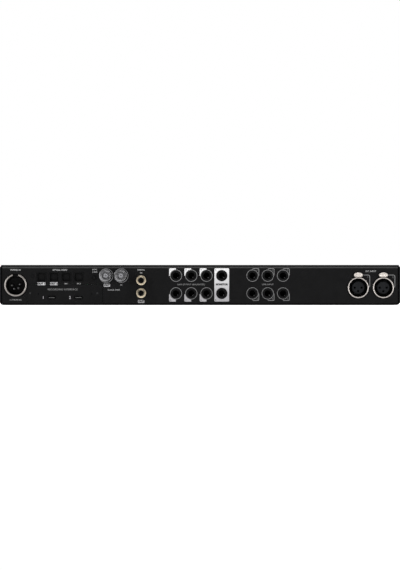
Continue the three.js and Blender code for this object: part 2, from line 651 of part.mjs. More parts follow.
function makeFrontControls() {
  const group = new THREE.Group();
  group.position.y = FACE;
  const rocker = piece("power_rocker", rockerShape(), blackPlastic, [ROCKER_X, ROCKER.pivot, MID_Z]);
  rocker.rotation.x = -ROCKER_TILT;
  const window = slab(roundedRectangle(METER.width - 0.6, METER.height - 0.6, 1.2), [0.4, 2.4], 1);
  group.add(
    ...Object.entries(KNOBS_X).flatMap(([name, x]) => [
      piece(`${name}_knob`, knobShape(15, 16, 3, 24), darkAnodised, [x, 0, MID_Z]),
      piece(`${name}_plunger`, plungerShape(), blackPlastic, [x, 0, MID_Z]),
    ]),
    ...PHONES.x.map((x, i) =>
      piece(`phones_knob_${i + 1}`, knobShape(7.4, 12, 2.5, 16), darkAnodised, [x, 0, PHONES.knobZ]),
    ),
    ...buttonPlaces().map(({ x, z }, i) => piece(`button_${i + 1}`, buttonShape(), litPlastic, [x, 0, z])),
    ...frontJacks().map(({ name, x, z }) => piece(name, frontJackShape(), blackPlastic, [x, 0, z])),
    piece("meter_window", window, smokedAcrylic, [METER.x, 0, MID_Z]),
    rocker,
  );
  return group;
}

const audioInterface = new THREE.Group();
audioInterface.add(makeCasing(), makeBoards(), makeRearConnectors(), makeFrontControls());

export default audioInterface;
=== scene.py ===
import math

import bmesh
import bpy
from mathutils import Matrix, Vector


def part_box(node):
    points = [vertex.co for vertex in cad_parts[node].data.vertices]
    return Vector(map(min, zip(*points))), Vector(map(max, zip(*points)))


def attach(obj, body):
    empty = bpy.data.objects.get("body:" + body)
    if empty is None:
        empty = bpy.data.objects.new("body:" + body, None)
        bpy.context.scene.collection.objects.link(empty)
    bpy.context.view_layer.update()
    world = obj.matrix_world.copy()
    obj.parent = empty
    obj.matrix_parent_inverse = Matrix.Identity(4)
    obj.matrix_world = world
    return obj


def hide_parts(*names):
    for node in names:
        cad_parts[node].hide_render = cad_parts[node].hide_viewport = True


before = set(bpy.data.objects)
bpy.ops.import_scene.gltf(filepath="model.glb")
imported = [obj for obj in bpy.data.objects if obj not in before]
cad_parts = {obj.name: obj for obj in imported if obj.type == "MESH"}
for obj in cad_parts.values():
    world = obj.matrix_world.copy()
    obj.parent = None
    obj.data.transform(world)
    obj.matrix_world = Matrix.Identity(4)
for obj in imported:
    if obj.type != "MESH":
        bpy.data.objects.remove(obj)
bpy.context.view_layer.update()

MM = 0.001
CHASSIS = "chassis"


# ---- Places that come from the frame ----

class Span:
    """The box of a CAD node at rest, in millimetres."""

    def __init__(self, node):
        low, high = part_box(node)
        self.low, self.high = low / MM, high / MM
        self.mid = (self.low + self.high) / 2
        self.size = self.high - self.low

    def on(self, y):
        """The middle of the box, moved along Y to the face of a panel."""
        return (self.mid.x, y, self.mid.z)


REAR = Span("rear_panel").high.y
FACE = Span("front_panel").low.y
MID_Z = Span("front_panel").mid.z
OUTPUTS = [Span(f"output_jacks_{i}") for i in (1, 2, 3)]
MONITOR = Span("monitor_jacks")
LINES = [Span(f"line_input_jacks_{i}") for i in (1, 2, 3)]
MICS = [Span(f"mic_input_shell_{i}") for i in (1, 2)]
INLET = Span("power_inlet_shell")
POWER_Z = Span("power_inlet_body").mid.z
OPTICALS = [Span(f"optical_port_{i}") for i in (1, 2, 3, 4)]
CLOCKS = [Span("clock_output_jack"), Span("clock_input_jack")]
CLOCK_Z = CLOCKS[0].high.z - 7.8
COAXES = [Span("coax_input_jack"), Span("coax_output_jack")]
TERMINATION = Span("termination_button")
CARD = Span("io_card_plate")

# ---- Sizes that only the looks need ----

SIDES = 64  # facets of a round part
FINE = 96  # facets of the widest round parts
JACK_ROWS = (MONITOR.low.z + 7, MONITOR.high.z - 7.2)
REAR_SHEET = 2
BACK = -REAR_SHEET - 0.3  # front face of the mouldings behind the rear panel, from its outer face
JACK_NOSE = 5.6
JACK_HOLE = 5.9
JACK_BORE = 5.0
MIC_RING = (10.1, 11.3)
MIC_HOLE = 11.6
INLET_RING = (10.5, 12.15)
INLET_HOLE = 12.45
PIN_ANGLES = (-2, 168, -65, -129)
SHARP = math.radians(35)  # edges sharper than this aren't shaded smooth
PRINT = 0.04  # thickness of the printed legends
DATA_PORT_X = (160.7, 131.8)
DATA_PORT_Z = 8
OPTICAL_Z = 30.3
PHONES_Z = 31.2
EARS = (232.55, 15.875)  # the rack slots, from the middle of the front panel
DIAL_DOTS = [math.radians(240 - 30 * i) for i in range(11)]
METER_CHANNELS = range(10)
METER_PITCH = 10
MASK_GREEN = (0.012, 0.075, 0.032)
BOARD_TOP = (5.62, 5.7)  # the board's surface, and where its components begin


# ---- Outlines: lists of points in a plane ----

def arc(cx, cy, radius, start, end, steps=8):
    """Points on an arc from one angle to another, in degrees."""
    angles = [math.radians(start + (end - start) * i / steps) for i in range(steps + 1)]
    return [(cx + radius * math.cos(a), cy + radius * math.sin(a)) for a in angles]


def circle(cx, cy, radius, sides=SIDES):
    return arc(cx, cy, radius, 0, 360, sides)[:-1]


def rounded(width, height, radius, cx=0, cy=0, steps=6):
    """A rectangle with round corners."""
    a, b = width / 2 - radius, height / 2 - radius
    corners = ((a, b, 0), (-a, b, 90), (-a, -b, 180), (a, -b, 270))
    return [p for x, y, turn in corners for p in arc(cx + x, cy + y, radius, turn, turn + 90, steps)]


def ellipse(cx, cy, rx, ry, sides=SIDES):
    return [(cx + (x - cx) * rx, cy + (y - cy) * ry) for x, y in circle(cx, cy, 1, sides)]


# ---- Meshes ----

class Shape:
    """Closed parts collected into one mesh. Each part has a material number."""

    def __init__(self):
        self.points, self.faces, self.paints = [], [], []

    def add(self, points, faces, paint=0):
        start = len(self.points)
        self.points += [Vector(p) for p in points]
        self.faces += [[start + i for i in face] for face in faces]
        self.paints += [paint] * len(faces)
        return self

    def loft(self, rings, paint=0):
        """Skins a row of rings of equal length and caps both ends."""
        count = len(rings[0])
        faces = [list(range(count)), list(range((len(rings) - 1) * count, len(rings) * count))]
        for k in range(len(rings) - 1):
            low, high = k * count, (k + 1) * count
            for i in range(count):
                j = (i + 1) % count
                faces.append([low + i, low + j, high + j, high + i])
        return self.add([p for ring in rings for p in ring], faces, paint)

    def layers(self, outlines, paint=0):
        """Outlines in X and Z, each at its own Y, joined up in their order."""
        return self.loft([[(x, y, z) for x, z in outline] for outline, y in outlines], paint)

    def slab(self, outline, y0, y1, paint=0):
        """An outline in X and Z, given thickness along Y."""
        return self.layers([(outline, y0), (outline, y1)], paint)

    def channel(self, outline, x0, x1):
        """An outline in Y and Z, drawn out along X."""
        return self.loft([[(x, y, z) for y, z in outline] for x in (x0, x1)])

    def sheet(self, outline, z0, z1):
        """An outline in X and Y, given thickness along Z."""
        return self.loft([[(x, y, z) for x, y in outline] for z in (z0, z1)])

    def box(self, low, high, paint=0):
        outline = [(low[0], low[2]), (high[0], low[2]), (high[0], high[2]), (low[0], high[2])]
        return self.slab(outline, low[1], high[1], paint)

    def turned(self, profile, at=(0, 0, 0), sides=SIDES, paint=0):
        """(radius, y) points turned about Y. The profile starts and ends on the axis, or closes on itself."""
        rings, points = [], []
        for radius, y in profile:
            count = 1 if radius < 1e-6 else sides
            rings.append(range(len(points), len(points) + count))
            turns = [2 * math.pi * i / sides for i in range(count)]
            points += [(at[0] + radius * math.cos(a), at[1] + y, at[2] + radius * math.sin(a)) for a in turns]
        pairs = list(zip(rings, rings[1:]))
        if profile[0][0] > 0:
            pairs.append((rings[-1], rings[0]))
        faces = []
        for low, high in pairs:
            for i in range(sides):
                j = (i + 1) % sides
                corners = [low[i % len(low)], low[j % len(low)], high[j % len(high)], high[i % len(high)]]
                face = list(dict.fromkeys(corners))
                if len(face) > 2:
                    faces.append(face)
        return self.add(points, faces, paint)

    def join(self, other, y=0):
        """Takes in another shape's parts, moved along Y."""
        start = len(self.points)
        self.faces += [[start + i for i in face] for face in other.faces]
        self.paints += other.paints
        self.points += [p + Vector((0, y, 0)) for p in other.points]

    def mesh(self, name):
        data = bpy.data.meshes.new(name)
        data.from_pydata([p * MM for p in self.points], [], self.faces)
        work = bmesh.new()
        work.from_mesh(data)
        work.faces.ensure_lookup_table()
        for face, paint in zip(work.faces, self.paints):
            face.material_index = paint
        bmesh.ops.recalc_face_normals(work, faces=work.faces)
        work.to_mesh(data)
        work.free()
        return data


def prisms(outlines, y0, y1):
    """Several outlines in X and Z, each given the same thickness along Y."""
    shape = Shape()
    for outline in outlines:
        shape.slab(outline, y0, y1)
    return shape


def carve(data, holes):
    """The mesh, or a shape's mesh, with another shape cut out of it."""
    if isinstance(data, Shape):
        data = data.mesh("whole")
    whole = bpy.data.objects.new("whole", data)
    cutter = bpy.data.objects.new("cutter", holes.mesh("cutter"))
    for item in (whole, cutter):
        bpy.context.scene.collection.objects.link(item)
    modifier = whole.modifiers.new("carve", "BOOLEAN")
    modifier.operation = "DIFFERENCE"
    modifier.solver = "EXACT"
    modifier.object = cutter
    bpy.context.view_layer.update()
    seen = whole.evaluated_get(bpy.context.evaluated_depsgraph_get())
    result = bpy.data.meshes.new_from_object(seen)
    for item in (whole, cutter):
        bpy.data.objects.remove(item)
    return result


def piece(name, data, materials, replaces=None, body=CHASSIS, at=(0, 0, 0), bevel=0.0):
    """A named piece that rides on a body. Its sharp edges stay sharp or get the bevel."""
    if isinstance(data, Shape):
        data = data.mesh(name)
    paints = [face.material_index for face in data.polygons]
    data.materials.clear()
    for item in materials if isinstance(materials, list) else [materials]:
        data.materials.append(item)
    data.polygons.foreach_set("material_index", paints)
    data.polygons.foreach_set("use_smooth", [True] * len(data.polygons))
    data.set_sharp_from_angle(angle=SHARP)
    made = bpy.data.objects.new(name, data)
    made.location = Vector(at) * MM
    bpy.context.scene.collection.objects.link(made)
    if bevel:
        modifier = made.modifiers.new("edges", "BEVEL")
        modifier.width = bevel * MM
        modifier.segments = 2
        modifier.limit_method = "ANGLE"
        modifier.angle_limit = SHARP
        modifier.harden_normals = True
    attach(made, body)
    if replaces:
        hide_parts(replaces)


# ---- Materials ----

class Paint:
    """A node material that is built up from its principled shader."""

    def __init__(self, name, colour, roughness, metallic=0.0, specular=0.5):
        self.material = bpy.data.materials.new(name)
        self.material.use_nodes = True
        self.tree = self.material.node_tree
        self.shader = self.tree.nodes["Principled BSDF"]
        self.colour = colour
        self.set("Base Color", (*colour, 1))
        self.set("Roughness", roughness)
        self.set("Metallic", metallic)
        self.set("Specular IOR Level", specular)
        self.place = self.tree.nodes.new("ShaderNodeTexCoord").outputs["Object"]

    def set(self, name, value):
        self.shader.inputs[name].default_value = value
        return self

    def node(self, kind, inputs, **settings):
        """A new node. Each of its inputs takes another node's output or a plain value."""
        made = self.tree.nodes.new("ShaderNode" + kind)
        for name, setting in settings.items():
            setattr(made, name, setting)
        for name, value in inputs.items():
            if isinstance(value, bpy.types.NodeSocket):
                self.tree.links.new(value, made.inputs[name])
            else:
                made.inputs[name].default_value = value
        return made

    def coloured(self, output):
        self.tree.links.new(output, self.shader.inputs["Base Color"])
        return self

    def noise(self, grain, stretch=(1, 1, 1), detail=2.0):
        """Noise with a grain in millimetres. Its stretch makes streaks along an axis."""
        scale = [1 / (grain * MM * s) for s in stretch]
        place = self.node("Mapping", {"Scale": scale, "Vector": self.place}).outputs["Vector"]
        return self.node("TexNoise", {"Scale": 1, "Detail": detail, "Vector": place}).outputs["Fac"]

    def ranged(self, value, low, high, bottom=0.3, top=0.7):
        """The value, stretched so that bottom gives low and top gives high."""
        limits = {"From Min": bottom, "From Max": top, "To Min": low, "To Max": high}
        return self.node("MapRange", {"Value": value, **limits}).outputs["Result"]

    def product(self, first, second):
        return self.node("Math", {0: first, 1: second}, operation="MULTIPLY").outputs[0]

    def blend(self, factor, first, second):
        """One colour or output mixed into another."""
        ends = [end if isinstance(end, bpy.types.NodeSocket) else (*end, 1) for end in (first, second)]
        return self.node("Mix", {"Factor": factor, 6: ends[0], 7: ends[1]}, data_type="RGBA").outputs[2]

    def axis(self, name):
        """One coordinate of the point on the surface, in metres."""
        return self.node("SeparateXYZ", {"Vector": self.place}).outputs[name]

    def circles(self):
        """The point as its distance from the Y axis and its place along it, so that noise makes rings."""
        flat = self.node("VectorMath", {0: self.place, 1: (1, 0, 1)}, operation="MULTIPLY")
        length = self.node("VectorMath", {0: flat.outputs["Vector"]}, operation="LENGTH")
        rings = self.node("CombineXYZ", {"X": length.outputs["Value"], "Y": self.axis("Y")})
        return rings.outputs["Vector"]

    def mottle(self, grain, amount, stretch=(1, 1, 1)):
        """Light and dark patches around the base colour."""
        darker = [c * (1 - amount) for c in self.colour]
        lighter = [min(c * (1 + amount), 1) for c in self.colour]
        factor = self.ranged(self.noise(grain, stretch, 4.0), 0, 1)
        return self.coloured(self.blend(factor, darker, lighter))

    def polish(self, grain, low, high, stretch=(1, 1, 1)):
        """Roughness that varies between two values."""
        rough = self.ranged(self.noise(grain, stretch, 3.0), low, high)
        self.tree.links.new(rough, self.shader.inputs["Roughness"])
        return self

    def bump(self, grain, height, stretch=(1, 1, 1), detail=2.0):
        """Relief of a given height, in millimetres."""
        relief = {"Distance": height * MM, "Height": self.noise(grain, stretch, detail)}
        bumped = self.node("Bump", relief).outputs["Normal"]
        self.tree.links.new(bumped, self.shader.inputs["Normal"])
        return self


def powder_coat(name="powder_coat", colour=(0.0042, 0.0042, 0.0044), specular=0.055):
    paint = Paint(name, colour, 0.5, specular=specular)
    paint.mottle(7, 0.12).polish(1.2, 0.42, 0.6)
    return paint.bump(0.35, 0.035, detail=3.0)


def rear_paint(edge_z):
    """Powder coat with a painted highlight: a paler grey towards the rounded upper edge of the rear panel,
    where the bend catches the light from above.
    """
    depth = 2.3
    paint = powder_coat("rear_powder_coat_painted_highlight")
    coat = paint.shader.inputs["Base Color"].links[0].from_socket
    # Painted highlight: it fades in over the 2.3 mm below the edge and is broken into streaks along X.
    height = paint.ranged(paint.axis("Z"), 0, 1, (edge_z - depth) * MM, edge_z * MM)
    highlight_streaks = paint.ranged(paint.noise(1.5, stretch=(6, 1, 1)), 0.8, 1.1)
    return paint.coloured(paint.blend(paint.product(height, highlight_streaks), coat, (0.075, 0.075, 0.075))).material


def anodised(name, colour, roughness=0.38):
    """Brushed and anodised aluminium, with its grain along X."""
    paint = Paint(name, colour, roughness, metallic=0.85)
    paint.mottle(0.5, 0.2, stretch=(90, 1, 1))
    paint.polish(0.35, roughness - 0.06, roughness + 0.1, stretch=(60, 1, 1))
    return paint.bump(0.12, 0.006, stretch=(120, 1, 1)).material


def turned_metal(name, colour, roughness):
    """Metal with the fine circles that a lathe leaves about the piece's Y axis."""
    paint = Paint(name, colour, roughness, metallic=1.0)
    paint.place = paint.circles()
    paint.mottle(0.7, 0.07).polish(0.5, roughness * 0.8, roughness * 1.25)
    return paint.bump(0.09, 0.003).material


def moulded(name, colour, roughness, specular):
    paint = Paint(name, colour, roughness, specular=specular)
    paint.mottle(5, 0.1).polish(1.5, roughness - 0.08, roughness + 0.1)
    return paint.bump(0.25, 0.012).material


def printed(name, bottom, top):
    """Screen-printed ink with painted shade: darker towards the foot of the panel, as if the light from above
    fell off.
    """
    paint = Paint(name, top, 0.6, specular=0.1)
    # Painted shade: the bottom colour up to 12 mm, the top colour from 40 mm up.
    height = paint.ranged(paint.axis("Z"), 0, 1, 12 * MM, 40 * MM)
    grain = paint.ranged(paint.noise(0.5), 0.93, 1.0)
    painted_shade = paint.blend(height, bottom, top)
    paint.coloured(paint.blend(grain, [c * 0.9 for c in bottom], painted_shade))
    return paint.bump(0.3, 0.01).material


def circuit(name, axis, surface):
    """Solder mask with copper lines under it, and dark component bodies beyond the board's own surface."""
    paint = Paint(name, MASK_GREEN, 0.4)
    cell = 260  # rows and columns of copper per metre
    place = paint.node("Mapping", {"Scale": (cell, cell, cell), "Vector": paint.place}).outputs["Vector"]
    colours = {"Color1": MASK_GREEN, "Color2": (0.010, 0.062, 0.028), "Mortar": (0.035, 0.16, 0.06)}
    inputs = {name: (*colour, 1) for name, colour in colours.items()}
    cells = paint.node("TexBrick", {"Scale": 1, "Mortar Size": 0.045, "Vector": place, **inputs})
    body = paint.blend(paint.ranged(paint.noise(9), 0, 1), (0.012, 0.012, 0.013), (0.03, 0.03, 0.032))
    step = paint.ranged(paint.axis(axis), 0, 1, surface[0] * MM, surface[1] * MM)
    paint.coloured(paint.blend(step, cells.outputs["Color"], body))
    return paint.polish(2, 0.3, 0.5).bump(0.6, 0.01).material


def ribbon_plastic():
    """Grey insulation moulded over a row of wires that run along the cable."""
    bands = 249.87  # one light and one dark band every 1.26 mm
    paint = Paint("ribbon_plastic", (0.25, 0.25, 0.26), 0.5)
    wave = paint.node("TexWave", {"Scale": bands, "Vector": paint.place}, bands_direction="X")
    paint.coloured(paint.blend(wave.outputs["Fac"], (0.16, 0.16, 0.17), (0.3, 0.3, 0.31)))
    return paint.bump(0.6, 0.01).material


def lamp(name, colour, strength):
    """A lit diode behind a cloudy lens."""
    paint = Paint(name, colour, 0.35)
    paint.mottle(0.6, 0.25)
    paint.set("Emission Color", (*colour, 1)).set("Emission Strength", strength)
    return paint.bump(0.4, 0.01).material


def smoked_glass():
    paint = Paint("smoked_glass", (0.2, 0.2, 0.21), 0.05)
    paint.set("Transmission Weight", 1.0).set("IOR", 1.49)
    return paint.polish(12, 0.03, 0.08).bump(30, 0.01).material


POWDER = powder_coat().material
# Rear panel paint with a painted highlight along its rounded upper edge.
REAR_COAT_PAINTED_HIGHLIGHT = rear_paint(Span("rear_panel").high.z)
# Near-black with almost no sheen: painted shadow on the rear edge of the cover, and the black head of the
# optical bank's screw.
BLACK_AND_PAINTED_SHADOW = powder_coat("black_and_painted_shadow", (0.0008, 0.0008, 0.0009), specular=0.01).material
ANODISED = anodised("dark_anodised", (0.013, 0.0135, 0.0145))
KNOB_METAL = turned_metal("knob_anodised", (0.045, 0.046, 0.05), 0.32)
BARE = anodised("extruded_aluminium", (0.52, 0.53, 0.55), 0.42)
NICKEL = turned_metal("satin_nickel", (0.68, 0.63, 0.59), 0.34)
# Painted shade: the ring and inlet nickel are the satin nickel made darker, to 0.7 and 0.41 of its colour.
SHADED_RING_NICKEL = turned_metal("shaded_ring_nickel", (0.48, 0.445, 0.42), 0.34)
SHADED_INLET_NICKEL = turned_metal("shaded_inlet_nickel", (0.28, 0.26, 0.245), 0.36)
GREY_METAL = turned_metal("die_cast_nickel", (0.19, 0.19, 0.195), 0.36)
GOLD = turned_metal("gold_plate", (0.58, 0.51, 0.39), 0.3)
BLACK_METAL = turned_metal("black_oxide", (0.012, 0.012, 0.013), 0.45)
BRIGHT_STEEL = turned_metal("bright_steel", (0.32, 0.32, 0.33), 0.34)
DARK_STEEL = turned_metal("dark_steel", (0.05, 0.05, 0.052), 0.4)
BLACK = moulded("black_plastic", (0.0022, 0.0022, 0.0024), 0.5, 0.1)
DARK = moulded("charcoal_plastic", (0.008, 0.0083, 0.009), 0.5, 0.15)
SLATE = moulded("slate_plastic", (0.007, 0.0075, 0.0085), 0.5, 0.08)
GREY_PLASTIC = moulded("grey_plastic", (0.09, 0.09, 0.09), 0.5, 0.2)
GLOSS = moulded("gloss_black_plastic", (0.006, 0.006, 0.007), 0.2, 0.5)
PUTTY = moulded("putty_insulator", (0.2, 0.2, 0.21), 0.5, 0.3)
LIT = moulded("milky_plastic", (0.55, 0.55, 0.53), 0.45, 0.4)
# Each ink's first colour is its painted shade at the foot of the panel, the second its colour at the top.
WHITE_INK = printed("white_ink", (0.285, 0.28, 0.29), (0.6, 0.6, 0.6))
GREY_INK = printed("grey_ink", (0.24, 0.24, 0.24), (0.28, 0.28, 0.28))
FAINT_INK = printed("faint_ink", (0.13, 0.13, 0.13), (0.145, 0.145, 0.145))
DARK_INK = printed("dark_ink", (0.01, 0.01, 0.011), (0.012, 0.012, 0.013))
GREEN_LAMP = lamp("green_lamp", (0.12, 0.85, 0.2), 1.6)
AMBER_LAMP = lamp("amber_lamp", (0.95, 0.55, 0.08), 1.6)
RED_LAMP = lamp("red_lamp", (0.95, 0.06, 0.04), 1.6)
UNLIT_LAMP = moulded("unlit_lamp", (0.03, 0.035, 0.03), 0.4, 0.4)


# ---- Casing ----

def jack_places():
    """The centres of the fourteen quarter inch jacks on the rear panel."""
    return [(column.mid.x, z) for column in (*OUTPUTS, MONITOR, *LINES) for z in JACK_ROWS]


def tab_outline(margin=0.0):
    """The oval head of a microphone latch, about the centre of its socket."""
    return ellipse(0, 13.7, 5 + margin, 2.9 + margin, 48)


def build_rear_panel():
    """A flat plate with its upper edge rounded over."""
    low, high = Span("rear_panel").low, Span("rear_panel").high
    upper, lower = 1.9, 0.9  # radii of its two long edges
    back = high.y - REAR_SHEET
    through = (back - 2, high.y + 2)
    outline = [(back, high.z), *arc(high.y - upper, high.z - upper, upper, 90, 0, 12)]
    outline += [*arc(high.y - lower, low.z + lower, lower, 0, -90, 8), (back, low.z)]
    openings = [circle(x, z, JACK_HOLE) for x, z in jack_places()]
    openings.append(circle(INLET.mid.x, POWER_Z, INLET_HOLE, FINE))
    openings += [rounded(10.8, 10.8, 0.5, port.mid.x, OPTICAL_Z) for port in OPTICALS]
    openings += [circle(jack.mid.x, CLOCK_Z, 5.3) for jack in CLOCKS]
    openings += [circle(jack.mid.x, jack.mid.z, 4.5) for jack in COAXES]
    openings.append(circle(TERMINATION.mid.x, TERMINATION.mid.z, 2.2, 32))
    holes = prisms(openings, *through)
    holes.box((CARD.low.x - 0.3, low.y - 1, -1), (CARD.high.x + 0.3, high.y + 1, CARD.high.z + 0.3))
    data = carve(Shape().channel(outline, low.x, high.x), holes)
    rings = [circle(mic.mid.x, mic.mid.z, MIC_HOLE, FINE) for mic in MICS]
    tabs = [[(mic.mid.x + x, mic.mid.z + z) for x, z in tab_outline(0.35)] for mic in MICS]
    for outlines in (rings, tabs):
        data = carve(data, prisms(outlines, *through))
    piece("rear_sheet", data, REAR_COAT_PAINTED_HIGHLIGHT, "rear_panel", bevel=0.12)


def build_card_plate():
    """The option card's plate, with the mouths of two data ports and two blind holes."""
    mouths = [rounded(9.6, 4.0, 1.9, x, DATA_PORT_Z) for x in DATA_PORT_X]
    blind = [circle(x, 12, 0.8, 24) for x in (CARD.high.x - 11.8, CARD.low.x + 11.5)]
    holes = prisms(mouths, CARD.low.y - 1, CARD.high.y + 1)
    holes.join(prisms(blind, CARD.high.y - 1, CARD.high.y + 1))
    data = carve(Shape().box(CARD.low, CARD.high), holes)
    piece("card_cover_plate", data, POWDER, "io_card_plate", bevel=0.12)


def build_cover():
    """The folded top cover with rounded vent slots."""
    span = Span("top_cover")
    half, top, foot, sheet, bend = span.high.x, span.high.z, span.low.z, 1.2, 1.3
    inner = bend - sheet
    outline = [(-half, foot), *arc(-half + bend, top - bend, bend, 180, 90, 10)]
    outline += [*arc(half - bend, top - bend, bend, 90, 0, 10), (half, foot), (half - sheet, foot)]
    outline += arc(half - bend, top - bend, inner, 0, 90, 6)
    outline += [*arc(-half + bend, top - bend, inner, 90, 180, 6), (-half + sheet, foot)]
    vents = Shape()
    pitch, width = 9, 3.2
    for i in range(9):
        slot = [(pitch * i - 60 + u, 24.75 + v) for u, v in rounded(width, 18.5, width / 2)]
        for side in (-1, 1):
            vents.channel(slot, side * (half - 3), side * (half + 2))
        for centre in (-122, 117):
            vents.sheet(rounded(width, 40, width / 2, centre + pitch * (i - 4), -30), top - 3, top + 2)
    data = carve(Shape().slab(outline, span.low.y, span.high.y), vents)
    for face in data.polygons:
        # The cover's rear end faces take the second material: a painted shadow along its rear edge.
        face.material_index = int(abs(face.normal.y) > 0.9 and face.center.y > (span.high.y - 0.1) * MM)
    piece("cover_shell", data, [POWDER, BLACK_AND_PAINTED_SHADOW], "top_cover", bevel=0.12)


def screw(shape, at, radius, proud=0.25, recess=0.45):
    """A screw head that faces +Y, with a round socket of a given part of its radius."""
    x, y, z = at
    rim = circle(x, z, radius, 32)
    edge = circle(x, z, radius - 0.2, 32)
    socket = circle(x, z, radius * recess, 32)
    layers = [(rim, y - 0.6), (rim, y + proud - 0.2), (edge, y + proud), (socket, y + proud)]
    return shape.layers([*layers, (socket, y + proud - 0.6)])


def build_rear_screws():
    """The screws of the inlet, the microphone sockets, the card's plate and the optical bank."""
    black = Shape()
    for dx, dz in ((10, 13), (-9.8, -11.7)):
        screw(black, (INLET.mid.x + dx, REAR, POWER_Z + dz), 2.0)
    for mic in MICS:
        for dx, dz in ((11.3, 11.8), (-9.4, -8.2)):
            screw(black, (mic.mid.x + dx, REAR, mic.mid.z + dz), 1.7, proud=0.12)
    piece("rear_panel_screws", black, BLACK_METAL)
    card = Shape()
    for x in (CARD.high.x - 2.9, CARD.low.x + 5.6):
        screw(card, (x, REAR, 12.8), 1.0, proud=0.2)
    piece("card_plate_screws", card, DARK_STEEL)
    optical = screw(Shape(), (181.6, REAR, 31.4), 2.0, proud=0.1, recess=0.8)
    piece("optical_bank_screw", optical, BLACK_AND_PAINTED_SHADOW)


# ---- Rear connectors ----

def jack_nose(shape, z, mouth, direction=1, base=3.0):
    """The round nose and bore of a quarter inch jack. Direction is the way the mouth faces along Y."""
    deep = mouth - 27
    profile = [(0, deep - 1), (4.6, deep - 1), (4.6, -base - 0.5), (JACK_NOSE, -base)]
    profile += [(JACK_NOSE, mouth - 0.6), (JACK_NOSE - 0.5, mouth), (4.7, mouth), (4.3, mouth - 0.5)]
    profile += [(4.0, mouth - 0.7), (3.3, mouth - 1.6), (3.3, deep), (0, deep)]
    return shape.turned([(r, direction * y) for r, y in profile], at=(0, 0, z))


def contact_spring(shape, z, mouth, direction=1):
    """The leaf that presses on a plug, seen low on one side of the bore."""
    leaf = [(-1.2, -2.0), (-2.2, -1.4), (-2.4, -1.7), (-1.4, -2.4)]
    outline = [(x, z + v) for x, v in leaf]
    y0, y1 = sorted((direction * (mouth - 16), direction * (mouth - 5)))
    return shape.slab(outline, y0, y1, paint=1)


def build_jack_pair(name, node):
    """Two jacks in one moulded housing, one above the other."""
    at = (Span(node).mid.x, REAR, JACK_ROWS[0])
    rows = [z - JACK_ROWS[0] for z in JACK_ROWS]
    housing = Shape().box((-7.9, -30, -7), (7.9, BACK, rows[1] + 7.2))
    bores = prisms([circle(0, z, JACK_BORE) for z in rows], -29, 3)
    piece(name, carve(housing, bores), BLACK, node, at=at, bevel=0.3)
    bushes = Shape()
    for z in rows:
        jack_nose(bushes, z, 0.9)
        contact_spring(bushes, z, 0.9)
    piece(name + "_bushes", bushes, [BLACK, GREY_METAL], at=at)


def socket_ring(radii, proud, outer_edge, inner_edge, sides):
    """The metal ring of a round socket, with both edges of its rim rounded."""
    inner, outer = radii
    lip = arc(outer - outer_edge, proud - outer_edge, outer_edge, 0, 90, 5)
    lip += arc(inner + inner_edge, proud - inner_edge, inner_edge, 90, 180, 4)
    return Shape().turned([(outer, -9), *lip, (inner, -9)], sides=sides)


def socket_cavity(depth, inner, outer):
    """The space in a round socket: a bore, and a wider seat for the metal ring."""
    profile = [(0, -depth), (inner, -depth), (inner, -9.3), (outer, -9.3), (outer, 3), (0, 3)]
    return Shape().turned(profile, sides=FINE)


def build_mic_input(number, mic):
    """A socket in its ring, with an insert that has three holes and the contacts in them."""
    at = mic.on(REAR)
    ring = socket_ring(MIC_RING, 2, 0.6, 0.4, FINE)
    piece(f"mic_ring_{number}", ring, SHADED_RING_NICKEL, f"mic_input_shell_{number}", at=at)

    body = Shape().box((-12.9, -28, -12.3), (12.9, BACK, 13))
    window = Shape().box((-6.5, -5, 10.6), (6.5, 3, 14))
    data = carve(carve(body, socket_cavity(20, 9.8, MIC_HOLE)), window)
    piece(f"mic_body_{number}", data, BLACK, f"mic_input_body_{number}", at=at, bevel=0.25)

    face = -0.6
    core = Shape().turned([(0, -21), (6.7, -21), (6.7, face - 0.5), (6.3, face), (5.6, face),
                           (5.45, face - 0.25), (0, face - 0.25)])
    hole = [(0, -12), (1.1, -12), (1.1, face - 0.6), (1.35, face), (1.35, 1), (0, 1)]
    holes, contacts = Shape(), Shape()
    pitch = 3.75
    for x, z in ((pitch, 0), (-pitch, 0), (0, -pitch)):
        holes.turned(hole, (x, 0, z), 32)
        contacts.turned([(0.85, -11.5), (1.05, -11.5), (1.05, -8.5), (0.85, -8.5)], (x, 0, z), 24)
    piece(f"mic_insert_{number}", carve(core, holes), SLATE, at=at, bevel=0.1)
    piece(f"mic_contacts_{number}", contacts, BLACK_METAL, at=at)


def build_mic_latch(number, mic):
    """An oval tab with a recessed, ribbed thumb rest, a collar above the ring and a stem into the socket."""
    body = f"mic_latch_{number}"
    at = mic.on(REAR)
    oval = tab_outline()
    layers = [(oval, -1.2), (oval, 2.7), (tab_outline(-0.35), 3.2), (tab_outline(-0.95), 3.2)]
    head = Shape().layers([*layers, (tab_outline(-1.15), 2.75)])
    ring_hole = Shape().slab(circle(0, 0, MIC_HOLE, FINE), -3, 6)
    neck = Shape().slab([(-2.9, 11), (2.9, 11), (2.9, 12.6), (-2.9, 12.6)], -1.2, 2.6)
    ribs = Shape()
    for i in range(-3, 4):
        ribs.box((i * 0.9 - 0.2, 2.6, 12.6), (i * 0.9 + 0.2, 3.0, 14.8))
    stem = Shape().box((-2.8, -16, 13.4), (2.8, -1.2, 15.8))
    piece(f"mic_latch_head_{number}", carve(head, ring_hole), NICKEL, body, body=body, at=at)
    rest = (("ribs", ribs, 0.08), ("collar", carve(neck, ring_hole), 0), ("stem", stem, 0.2))
    for part, data, bevel in rest:
        piece(f"mic_latch_{part}_{number}", data, NICKEL, body=body, at=at, bevel=bevel)


